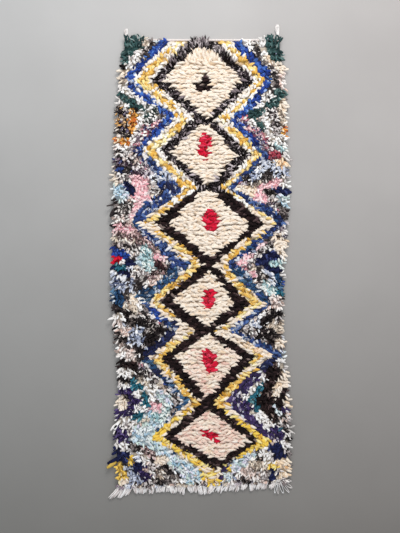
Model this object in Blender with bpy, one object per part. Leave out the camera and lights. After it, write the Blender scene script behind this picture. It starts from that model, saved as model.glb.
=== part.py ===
"""A boucherouite runner lying flat: a lumpy knotted pile with locks at its rim, a plain heading
at the top end, a knotted tassel at each top corner, and a fringe of warp ends at the bottom.

The runner lies on the XY plane with its underside at Z = 0. Its length runs along Y, and the
heading is at +Y. All sizes are in metres.
"""

import math
from collections import namedtuple

import bmesh
import bpy
from mathutils import Vector, noise

# The knotted rows, and how many lumps stand across the pile
ROW_COUNT = 94
COLUMN_COUNT = 24
TOP_END = 1.125
BOTTOM_END_MIDDLE = -1.104
BOTTOM_END_SLOPE = 0.035

# The heights of the pile over the floor
GROUND_HEIGHT = 0.0055
RIM_HEIGHT = 0.0130
CROWN_HEIGHT = 0.0235
CROWN_REACH = 0.045
RIM_SHARE = 0.25
SWELL_RELIEF = 0.0025
SWELL_PITCH = 0.110
LUMP_RELIEF = 0.0042
LUMP_PITCH = 0.019
COLUMN_CROWDING = 1.05

# The locks at the rim of the pile
RIM_INSET = 0.012
SIDE_LOCK_SHARE = 0.70
SIDE_LOCK_REACH = (0.013, 0.033)
SIDE_LOCK_LEAN = 0.42
END_LOCK_REACH = (0.007, 0.020)
END_LOCK_LIFT = 0.0012

# The woven ends and what hangs from them
SEAT_GAP = 0.0003
STRIP_HEIGHT = 0.0048
HEADING_WIDTH = 0.009
FRINGE_STRIP_WIDTH = 0.010
FRINGE_COUNT = 96
FRINGE_YARN_SHARE = 0.64
FRINGE_REACH = (0.024, 0.044)
FRINGE_CLUMP_LEAN = 0.055
FRINGE_CLUMP_COUNT = 17
END_STRIP_INSET = 0.016
TASSEL_HEAD_LENGTH = 0.009
TASSEL_HEAD_HEIGHT = 0.0075
TASSEL_STRANDS = 5

# How far each edge of the pile lies from the middle line, at stations along the runner
Station = namedtuple("Station", "along left right")
SELVEDGES = (
    Station(along=1.125, left=-0.403, right=0.400),
    Station(along=0.910, left=-0.425, right=0.420),
    Station(along=0.610, left=-0.450, right=0.430),
    Station(along=0.310, left=-0.455, right=0.435),
    Station(along=0.010, left=-0.460, right=0.415),
    Station(along=-0.190, left=-0.460, right=0.410),
    Station(along=-0.440, left=-0.430, right=0.415),
    Station(along=-0.665, left=-0.430, right=0.435),
    Station(along=-0.890, left=-0.450, right=0.450),
    Station(along=-1.125, left=-0.428, right=0.430),
)

# Places where one row's locks reach well past their neighbours
Stray = namedtuple("Stray", "side along reach")
STRAY_LOCKS = (
    Stray(side=-1, along=0.285, reach=0.048),
    Stray(side=-1, along=-0.285, reach=0.040),
    Stray(side=-1, along=-0.790, reach=0.052),
    Stray(side=-1, along=-0.985, reach=0.050),
    Stray(side=1, along=0.545, reach=0.040),
    Stray(side=1, along=-0.830, reach=0.036),
)

# How the warp ends of the fringe lean sideways, and how much longer they grow, across the runner
Comb = namedtuple("Comb", "across lean growth")
FRINGE_COMB = (
    Comb(across=-0.43, lean=-0.80, growth=1.35),
    Comb(across=-0.30, lean=-0.42, growth=1.00),
    Comb(across=0.00, lean=-0.22, growth=1.05),
    Comb(across=0.30, lean=-0.10, growth=0.95),
    Comb(across=0.39, lean=0.10, growth=1.20),
    Comb(across=0.43, lean=0.75, growth=1.50),
)

Tassel = namedtuple("Tassel", "name across width reach lean")
TASSELS = (
    Tassel(name="corner_tassel_left", across=-0.383, width=0.014, reach=0.030, lean=-0.10),
    Tassel(name="corner_tassel_right", across=0.377, width=0.016, reach=0.046, lean=-0.16),
)


def clear_scene():
    for obj in list(bpy.data.objects):
        bpy.data.objects.remove(obj)


def make_material(name, colour, roughness):
    material = bpy.data.materials.new(name)
    material.use_nodes = True
    shader = material.node_tree.nodes["Principled BSDF"]
    shader.inputs["Base Color"].default_value = (*colour, 1.0)
    shader.inputs["Roughness"].default_value = roughness
    shader.inputs["Metallic"].default_value = 0.0
    return material


def smoothstep(value):
    value = min(1.0, max(0.0, value))
    return value * value * (3.0 - 2.0 * value)


def between(rows, key, place, column):
    """The named column of a table, read smoothly at a place between two of its rows."""
    ordered = sorted(rows, key=lambda row: getattr(row, key))
    for low, high in zip(ordered, ordered[1:]):
        if place <= getattr(high, key):
            span = getattr(high, key) - getattr(low, key)
            share = smoothstep((place - getattr(low, key)) / span)
            return getattr(low, column) * (1 - share) + getattr(high, column) * share
    return getattr(ordered[-1], column)


def unevenness(x, y, seed):
    """Smooth noise from about -1 to 1, the same at each run."""
    return noise.noise(Vector((x, y, seed))) * 1.6


def share_of(index, seed):
    """A steady number from 0 to 1 for a counted thing."""
    return (noise.cell(Vector((index + 0.5, seed + 0.5, 0.5))) + 1) / 2


def left_edge(y):
    return between(SELVEDGES, "along", y, "left") + RIM_INSET


def right_edge(y):
    return between(SELVEDGES, "along", y, "right") - RIM_INSET


def bottom_end(x):
    return BOTTOM_END_MIDDLE + BOTTOM_END_SLOPE * x


def crowded(u):
    """Moves the columns of lumps towards the two edges, where the pile rounds down."""
    return math.sin(u * COLUMN_CROWDING) / math.sin(COLUMN_CROWDING)


def pile_point(u, v):
    """The place on the pile's upper surface for u and v from -1 to 1."""
    share = (v + 1) / 2
    level = bottom_end(0.0) * (1 - share) + TOP_END * share
    left, right = left_edge(level), right_edge(level)
    x = left + (right - left) * (crowded(u) + 1) / 2
    y = bottom_end(x) * (1 - share) + TOP_END * share
    from_rim = min(x - left, right - x, TOP_END - y, y - bottom_end(x))
    crown = smoothstep(RIM_SHARE + from_rim / CROWN_REACH)
    swell = SWELL_RELIEF * unevenness(x / SWELL_PITCH, y / SWELL_PITCH, 1.0)
    lump = LUMP_RELIEF * noise.cell(Vector((x / LUMP_PITCH, y / LUMP_PITCH, 0.5)))
    z = RIM_HEIGHT + (CROWN_HEIGHT - RIM_HEIGHT + swell + lump) * crown
    return Vector((x, y, z))


def close_to_floor(bm, levels):
    """Draws the open surface's rim straight down through the levels and closes it underneath."""
    rim = [edge for edge in bm.edges if edge.is_boundary]
    walls = []
    for level in levels:
        made = bmesh.ops.extrude_edge_only(bm, edges=rim)["geom"]
        for vert in (item for item in made if isinstance(item, bmesh.types.BMVert)):
            vert.co.z = level
        walls.append([item for item in made if isinstance(item, bmesh.types.BMFace)])
        rim = [edge for edge in bm.edges if edge.is_boundary]
    bmesh.ops.contextual_create(bm, geom=rim)
    bmesh.ops.recalc_face_normals(bm, faces=bm.faces)
    return walls


def grow(bm, face, stages):
    """Draws one face out into a lock. A stage is where the face's middle goes, and its scale."""
    for target, width_scale, height_scale in stages:
        face = bmesh.ops.extrude_discrete_faces(bm, faces=[face])["faces"][0]
        middle = face.calc_center_median()
        for vert in face.verts:
            offset = vert.co - middle
            offset.x *= width_scale
            offset.y *= width_scale
            offset.z *= height_scale
            vert.co = target + offset


def new_part(name, bm, material):
    mesh = bpy.data.meshes.new(name)
    bm.to_mesh(mesh)
    bm.free()
    part = bpy.data.objects.new(name, mesh)
    part.data.materials.append(material)
    return part


def side_lock(bm, face, side, number):
    """A lock at a side of the pile: it leaves the wall level, then droops to the floor."""
    root = face.calc_center_median()
    low, high = SIDE_LOCK_REACH
    reach = low + (high - low) * share_of(number, 10 + side)
    for stray in STRAY_LOCKS:
        if stray.side == side and abs(stray.along - root.y) < 0.6 * row_pitch():
            reach = stray.reach
    lean = SIDE_LOCK_LEAN * unevenness(root.y * 4.0, side, 9.0) - 0.15
    middle = root + Vector((side * reach * 0.45, lean * reach * 0.45, 0.0))
    middle.z = root.z * 0.80
    tip = root + Vector((side * reach, lean * reach, 0.0))
    tip.z = root.z * 0.28
    grow(bm, face, ((middle, 1.50, 0.85), (tip, 0.42, 0.38)))


def end_lock(bm, face, end, number):
    """A lock at an end of the pile, which lies over the woven strip there."""
    root = face.calc_center_median()
    low, high = END_LOCK_REACH
    reach = low + (high - low) * share_of(number, 30 + end)
    lean = 0.35 * unevenness(root.x * 6.0, end, 12.0)
    tip = root + Vector((lean * reach, end * reach, END_LOCK_LIFT))
    grow(bm, face, ((tip, 0.45, 0.50),))


def row_pitch():
    return (TOP_END - BOTTOM_END_MIDDLE) / ROW_COUNT


def build_pile(material):
    bm = bmesh.new()
    bmesh.ops.create_grid(bm, x_segments=COLUMN_COUNT, y_segments=ROW_COUNT, size=1.0)
    rim = [edge for edge in bm.edges if edge.is_boundary]
    bmesh.ops.subdivide_edges(bm, edges=rim, cuts=1)
    for vert in bm.verts:
        vert.co = pile_point(vert.co.x, vert.co.y)
    upper_walls = close_to_floor(bm, (GROUND_HEIGHT, 0.0))[0]
    sides = {-1: [], 1: []}
    ends = {-1: [], 1: []}
    for face in upper_walls:
        if abs(face.normal.x) > abs(face.normal.y):
            sides[1 if face.normal.x > 0 else -1].append(face)
        else:
            ends[1 if face.normal.y > 0 else -1].append(face)
    for side, faces in sides.items():
        faces.sort(key=lambda face: face.calc_center_median().y)
        for number, face in enumerate(faces[2:-2:2]):
            near_stray = any(
                stray.side == side and abs(stray.along - face.calc_center_median().y) < row_pitch()
                for stray in STRAY_LOCKS
            )
            if near_stray or share_of(number, 20 + side) < SIDE_LOCK_SHARE:
                side_lock(bm, face, side, number)
    for end, faces in ends.items():
        faces.sort(key=lambda face: face.calc_center_median().x)
        for number, face in enumerate(faces[1:-1:2]):
            end_lock(bm, face, end, number)
    return new_part("knotted_pile", bm, material)


def build_strip(bm, crossings, near, far, height):
    """A woven strip over the crossings, from its near edge to its far edge, each a function of x."""
    columns = len(crossings) - 1
    bmesh.ops.create_grid(bm, x_segments=columns, y_segments=1, size=1.0)
    for vert in bm.verts:
        x = crossings[round((vert.co.x + 1) / 2 * columns)]
        edge = near if vert.co.y < 0 else far
        vert.co = Vector((x, edge(x), height))
    return close_to_floor(bm, (0.0,))[0]


def strand_crossings(start, end, count, yarn_share):
    """Where each strand's root starts and ends across a strip, with a gap after each but the last."""
    pitch = (end - start) / (count - 1 + yarn_share)
    crossings = []
    for number in range(count):
        crossings.append(start + number * pitch)
        crossings.append(start + (number + yarn_share) * pitch)
    return crossings


def strand_faces(walls, out):
    """The strands' own faces among a strip's walls: every other one along its outer edge."""
    outer = [face for face in walls if face.normal.y * out > 0.9]
    outer.sort(key=lambda face: face.calc_center_median().x)
    return outer[::2]


def resting_strand(bm, face, out, reach, lean, tip_scale):
    """A strand that leaves its strip, bends and lies level on the floor all along."""
    root = face.calc_center_median()
    height = 2 * root.z
    stages = []
    for share, side_share, scale in ((0.5, 0.36, 0.92), (1.0, 1.0, tip_scale)):
        place = root + Vector((lean * reach * side_share, out * reach * share, 0.0))
        place.z = height * scale / 2
        stages.append((place, scale, scale))
    turned = [(p, w if n == 0 else w / stages[0][1], h if n == 0 else h / stages[0][2])
              for n, (p, w, h) in enumerate(stages)]
    grow(bm, face, turned)


def build_fringe(material):
    bm = bmesh.new()
    start = left_edge(BOTTOM_END_MIDDLE) - RIM_INSET / 2
    end = right_edge(BOTTOM_END_MIDDLE) + RIM_INSET / 2
    crossings = strand_crossings(start, end, FRINGE_COUNT, FRINGE_YARN_SHARE)
    walls = build_strip(
        bm,
        crossings,
        near=lambda x: bottom_end(x) - SEAT_GAP - FRINGE_STRIP_WIDTH,
        far=lambda x: bottom_end(x) - SEAT_GAP,
        height=STRIP_HEIGHT,
    )
    low, high = FRINGE_REACH
    for number, face in enumerate(strand_faces(walls, -1)):
        x = face.calc_center_median().x
        clump = math.sin(number / FRINGE_COUNT * FRINGE_CLUMP_COUNT * math.tau)
        lean = between(FRINGE_COMB, "across", x, "lean") - FRINGE_CLUMP_LEAN * clump
        growth = between(FRINGE_COMB, "across", x, "growth")
        reach = (low + (high - low) * share_of(number, 40)) * growth
        resting_strand(bm, face, -1, reach, lean, 0.62)
    return new_part("bottom_fringe", bm, material)


def build_heading(material):
    bm = bmesh.new()
    start = left_edge(TOP_END) - RIM_INSET + END_STRIP_INSET
    end = right_edge(TOP_END) + RIM_INSET - END_STRIP_INSET
    count = 2 * COLUMN_COUNT
    crossings = [start + (end - start) * number / count for number in range(count + 1)]
    build_strip(
        bm,
        crossings,
        near=lambda x: TOP_END + SEAT_GAP,
        far=lambda x: TOP_END + SEAT_GAP + HEADING_WIDTH,
        height=STRIP_HEIGHT,
    )
    return new_part("top_heading", bm, material)


def build_tassel(tassel, material):
    """A knotted head seated on the heading's edge, with strands that fan out along the floor."""
    bm = bmesh.new()
    foot = TOP_END + 2 * SEAT_GAP + HEADING_WIDTH
    crossings = strand_crossings(
        tassel.across - tassel.width / 2, tassel.across + tassel.width / 2, TASSEL_STRANDS, 0.7
    )
    walls = build_strip(
        bm,
        crossings,
        near=lambda x: foot,
        far=lambda x: foot + TASSEL_HEAD_LENGTH,
        height=TASSEL_HEAD_HEIGHT,
    )
    for number, face in enumerate(strand_faces(walls, 1)):
        from_middle = number / (TASSEL_STRANDS - 1) * 2 - 1
        reach = tassel.reach * (1 - 0.28 * from_middle * from_middle)
        resting_strand(bm, face, 1, reach, tassel.lean + 0.10 * from_middle, 0.55)
    return new_part(tassel.name, bm, material)


def main():
    clear_scene()
    runner = bpy.data.collections.new("boucherouite_runner")
    bpy.context.scene.collection.children.link(runner)
    rag_pile = make_material("rag_pile", (0.56, 0.53, 0.51), 0.92)
    warp_yarn = make_material("warp_yarn", (0.80, 0.76, 0.70), 0.88)
    parts = [build_pile(rag_pile), build_fringe(warp_yarn), build_heading(warp_yarn)]
    parts += [build_tassel(tassel, warp_yarn) for tassel in TASSELS]
    for part in parts:
        runner.objects.link(part)


main()
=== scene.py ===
# %% [markdown]
# # A boucherouite runner
#
# A boucherouite is a rug knotted from what a household has left over: wool yarn, and old clothes
# torn into strips. Each knot leaves two or three soft ends above the woven ground, and some thirteen
# thousand of them lie over each other as shag. This lesson builds that shag lock by lock: first a
# chart of the pattern in real sizes, then numpy arrays that bend every lock at once, and last the
# yarns' materials, the warp fringe, the light and the camera.
#
# The solid model comes first. Its box is what the soft pieces must fit.

# %% Load the frame
import math
from collections import namedtuple

import bpy
import numpy as np
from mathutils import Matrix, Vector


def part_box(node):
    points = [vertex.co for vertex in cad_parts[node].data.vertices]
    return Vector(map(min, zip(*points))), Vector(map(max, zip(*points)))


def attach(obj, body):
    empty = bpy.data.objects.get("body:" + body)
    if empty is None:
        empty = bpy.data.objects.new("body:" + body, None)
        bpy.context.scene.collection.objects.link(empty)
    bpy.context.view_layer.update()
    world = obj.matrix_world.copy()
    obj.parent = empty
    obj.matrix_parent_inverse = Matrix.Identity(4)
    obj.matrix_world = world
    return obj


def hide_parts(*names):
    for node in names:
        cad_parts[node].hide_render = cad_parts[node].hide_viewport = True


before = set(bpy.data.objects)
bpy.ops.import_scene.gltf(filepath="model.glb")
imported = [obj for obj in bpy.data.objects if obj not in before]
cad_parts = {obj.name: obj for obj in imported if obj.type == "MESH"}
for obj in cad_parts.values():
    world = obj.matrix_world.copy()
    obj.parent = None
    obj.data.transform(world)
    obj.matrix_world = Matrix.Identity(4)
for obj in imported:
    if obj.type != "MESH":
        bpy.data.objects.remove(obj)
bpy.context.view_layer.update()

# %% [markdown]
# ## The runner's outline
#
# A hand-woven runner is never a rectangle. This one is narrower at its top end, and both of its
# edges wander. The edges are kept as a short table of stations along the runner, which both the
# ground and the knots read, so the pile always ends where its ground ends.

# %% Sizes and edges
CM = 0.01
ROW_COUNT = 94
KNOTS_PER_ROW = 58
TOP_END = 1.125
BOTTOM_END_MIDDLE = -1.104
BOTTOM_END_SLOPE = 0.035

Station = namedtuple("Station", "along left right")
SELVEDGES = (
    Station(along=1.125, left=-0.403, right=0.400),
    Station(along=0.910, left=-0.425, right=0.420),
    Station(along=0.610, left=-0.450, right=0.430),
    Station(along=0.310, left=-0.455, right=0.435),
    Station(along=0.010, left=-0.460, right=0.415),
    Station(along=-0.190, left=-0.460, right=0.410),
    Station(along=-0.440, left=-0.430, right=0.415),
    Station(along=-0.665, left=-0.430, right=0.435),
    Station(along=-0.890, left=-0.450, right=0.450),
    Station(along=-1.125, left=-0.428, right=0.430),
)


def read_along(rows, column, along):
    """A table's column at places along the runner, on straight lines between its rows."""
    ordered = sorted(rows, key=lambda row: row.along)
    places = [row.along for row in ordered]
    return np.interp(along, places, [getattr(row, column) for row in ordered])


def bottom_end(across):
    """Where the pile ends at the bottom, which slants a little."""
    return BOTTOM_END_MIDDLE + BOTTOM_END_SLOPE * across


def ripple(x, y, size, seed):
    """Smooth unevenness from about -1 to 1: four slanted sine waves of unlike pitch, added up."""
    phases = np.random.default_rng(seed).uniform(0, math.tau, 8)
    total = 0.0
    for wave in range(4):
        pitch = size * (0.7 + 0.35 * wave)
        slant = phases[wave]
        along = x * math.cos(slant) + y * math.sin(slant)
        total = total + np.sin(along / pitch * math.tau + phases[wave + 4])
    return total / 2.4


def smooth_step(share):
    """A share from 0 to 1 that leaves 0 and reaches 1 gently: three squares less two cubes."""
    share = np.clip(share, 0, 1)
    return share * share * (3 - 2 * share)


print(ROW_COUNT, "rows,", round((TOP_END - BOTTOM_END_MIDDLE) / ROW_COUNT * 1000, 1), "mm apart")

# %% [markdown]
# ## The chart: diamonds and zigzags
#
# A weaver keeps such a pattern in mind as a few numbers: how wide a diamond grows before its sides
# turn back, and how many knots of each yarn lie beside its outline. The same numbers make the chart
# here. Six diamonds stand in a column, and each side has three zigzag lines beside them: the outer
# edges of the dark outline, of the gold band and of the blue band. A zigzag is a list of turns,
# with straight lines between them. All of the chart is in centimetres from the runner's middle.

# %% The diamonds
Diamond = namedtuple("Diamond", "top top_at blunt left left_at right right_at bottom bottom_at")
DIAMONDS = (
    Diamond(top=108.2, top_at=0.4, blunt=4.4, left=-19.2, left_at=92.6,
            right=19.4, right_at=92.6, bottom=73.0, bottom_at=3.0),
    Diamond(top=70.4, top_at=1.6, blunt=2.4, left=-15.3, left_at=56.5,
            right=17.3, right_at=54.9, bottom=39.9, bottom_at=2.9),
    Diamond(top=37.0, top_at=2.2, blunt=2.2, left=-16.3, left_at=21.0,
            right=24.9, right_at=19.4, bottom=3.1, bottom_at=4.5),
    Diamond(top=-2.7, top_at=4.5, blunt=0.2, left=-15.3, left_at=-18.0,
            right=16.6, right_at=-19.0, bottom=-30.2, bottom_at=2.9),
    Diamond(top=-34.3, top_at=2.9, blunt=0.4, left=-13.4, left_at=-46.0,
            right=19.8, right_at=-46.4, bottom=-66.2, bottom_at=2.9),
    Diamond(top=-72.8, top_at=3.2, blunt=0.6, left=-13.4, left_at=-86.2,
            right=24.9, right_at=-87.5, bottom=-97.7, bottom_at=8.3),
)
for diamond in DIAMONDS:
    print("a diamond", round(diamond.right - diamond.left, 1), "cm wide")

# %% The zigzags, as turns down the runner
Turn = namedtuple("Turn", "along across")
DARK_LEFT = (
    Turn(113.0, -7.0), Turn(92.0, -25.5), Turn(74.3, -3.5), Turn(57.4, -21.4),
    Turn(39.0, -1.9), Turn(21.3, -24.5), Turn(0.3, 1.3), Turn(-18.0, -21.4),
    Turn(-33.0, -2.9), Turn(-47.0, -20.4), Turn(-68.8, -0.6), Turn(-86.2, -20.0),
    Turn(-101.5, 6.4),
)
DARK_RIGHT = (
    Turn(113.0, 5.8), Turn(92.5, 26.5), Turn(72.5, 6.0), Turn(55.5, 24.5),
    Turn(39.3, 9.5), Turn(20.7, 31.3), Turn(0.3, 5.8), Turn(-19.6, 24.3),
    Turn(-33.0, 6.0), Turn(-45.8, 26.8), Turn(-68.8, 5.8), Turn(-87.2, 28.4),
    Turn(-98.0, 13.4), Turn(-101.5, 8.5),
)
GOLD_LEFT = (
    Turn(113.5, -15.5), Turn(93.2, -34.8), Turn(74.3, -12.8), Turn(58.4, -29.3),
    Turn(37.7, -9.6), Turn(21.0, -31.4), Turn(0.3, -5.2), Turn(-18.4, -27.1),
    Turn(-32.5, -11.5), Turn(-46.7, -26.5), Turn(-68.0, -6.4), Turn(-86.2, -25.5),
    Turn(-102.5, -1.3), Turn(-109.0, 2.5),
)
GOLD_RIGHT = (
    Turn(113.5, 13.4), Turn(92.6, 31.9), Turn(76.5, 17.6), Turn(72.3, 13.6), Turn(55.5, 30.3),
    Turn(38.5, 12.5), Turn(21.3, 37.4), Turn(0.3, 11.2), Turn(-19.5, 32.0), Turn(-27.0, 19.6),
    Turn(-32.8, 12.8), Turn(-45.6, 35.6), Turn(-53.0, 26.2), Turn(-60.0, 19.2),
    Turn(-68.0, 12.4), Turn(-72.0, 14.8), Turn(-79.0, 23.4), Turn(-89.0, 35.0),
    Turn(-97.5, 16.0), Turn(-102.5, 9.5), Turn(-109.0, 7.5),
)
BLUE_LEFT = (
    Turn(113.5, -20.6), Turn(104.5, -28.4), Turn(94.5, -38.4), Turn(89.5, -37.2), Turn(86.0, -35.0),
    Turn(80.4, -25.6), Turn(75.0, -17.8), Turn(70.4, -21.2), Turn(59.0, -32.8), Turn(55.0, -31.6),
    Turn(47.0, -25.4), Turn(42.0, -18.6), Turn(37.5, -17.4), Turn(33.0, -25.8),
    Turn(30.6, -29.6), Turn(26.0, -33.0), Turn(21.3, -35.6),
    Turn(15.0, -29.4), Turn(10.0, -23.2), Turn(5.0, -18.4), Turn(0.5, -15.5), Turn(-5.0, -18.0),
    Turn(-10.0, -23.4), Turn(-17.0, -30.4), Turn(-20.0, -29.2), Turn(-25.0, -25.0),
    Turn(-32.0, -16.5), Turn(-37.0, -20.8), Turn(-42.5, -28.0), Turn(-47.5, -30.0),
    Turn(-68.0, -9.6), Turn(-86.2, -25.6), Turn(-102.5, -1.4), Turn(-109.0, 2.4),
)
BLUE_RIGHT = (
    Turn(113.5, 18.6), Turn(96.5, 34.8), Turn(91.0, 34.4), Turn(85.0, 30.8), Turn(77.0, 24.0),
    Turn(73.0, 18.2), Turn(55.2, 33.5),
    Turn(38.6, 15.6), Turn(35.0, 23.4), Turn(29.0, 33.6), Turn(21.3, 42.4), Turn(0.5, 15.8),
    Turn(-3.5, 22.4), Turn(-19.0, 34.4),
    Turn(-33.0, 18.6), Turn(-43.5, 40.4), Turn(-52.0, 32.6), Turn(-68.5, 18.0),
    Turn(-86.0, 35.6), Turn(-89.0, 35.1), Turn(-97.5, 16.1), Turn(-109.0, 7.6),
)

print(len(BLUE_LEFT), "and", len(BLUE_RIGHT), "turns of the blue bands' edges")

# %% Small figures inside the diamonds, each a few rounded bars
Bar = namedtuple("Bar", "yarn x1 y1 x2 y2 half_width")
FIGURES = (
    Bar("ink", 2.0, 95.4, 2.0, 93.0, 1.3), Bar("ink", 0.8, 91.2, 2.8, 91.2, 2.2),
    Bar("ink", -2.4, 88.6, 3.6, 88.6, 1.8),
    Bar("crimson", 1.5, 63.3, 1.8, 60.5, 2.3), Bar("crimson", 3.6, 61.5, 4.0, 61.0, 1.5),
    Bar("crimson", 0.8, 57.3, 2.0, 56.3, 2.5), Bar("crimson", 1.5, 54.6, 2.0, 53.6, 1.3),
    Bar("crimson", 3.6, 25.4, 4.4, 24.6, 2.2), Bar("crimson", 3.4, 22.0, 5.8, 21.6, 3.1),
    Bar("crimson", 3.2, 19.0, 5.2, 18.6, 2.4),
    Bar("crimson", 2.6, -13.6, 5.0, -13.8, 1.8), Bar("crimson", 2.2, -16.4, 3.8, -17.2, 2.9),
    Bar("crimson", 1.4, -19.2, 2.8, -19.6, 2.1),
    Bar("crimson", 2.0, -44.6, 4.0, -45.2, 2.4), Bar("crimson", 2.2, -48.0, 5.0, -48.6, 3.0),
    Bar("crimson", 3.0, -51.6, 4.6, -52.2, 2.1),
    Bar("crimson", 1.4, -83.6, 3.2, -84.4, 2.0), Bar("crimson", 4.0, -85.4, 6.6, -86.2, 2.3),
    Bar("crimson", 6.0, -87.0, 7.6, -87.4, 1.4),
)
print(len(FIGURES), "bars in the diamonds' figures")

# %% [markdown]
# ## The chart: rags at both sides
#
# Past the blue band the weaver used whatever rag came to hand, a few rows of each, still along the
# zigzags. Each use of a rag is a rounded bar here, from one end to the other with a half width. A
# knot takes the rag of the bar that it lies deepest in, so neighbours meet in a natural border.
# The blue and gold bands are broken in places too, where that wool ran short.

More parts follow.
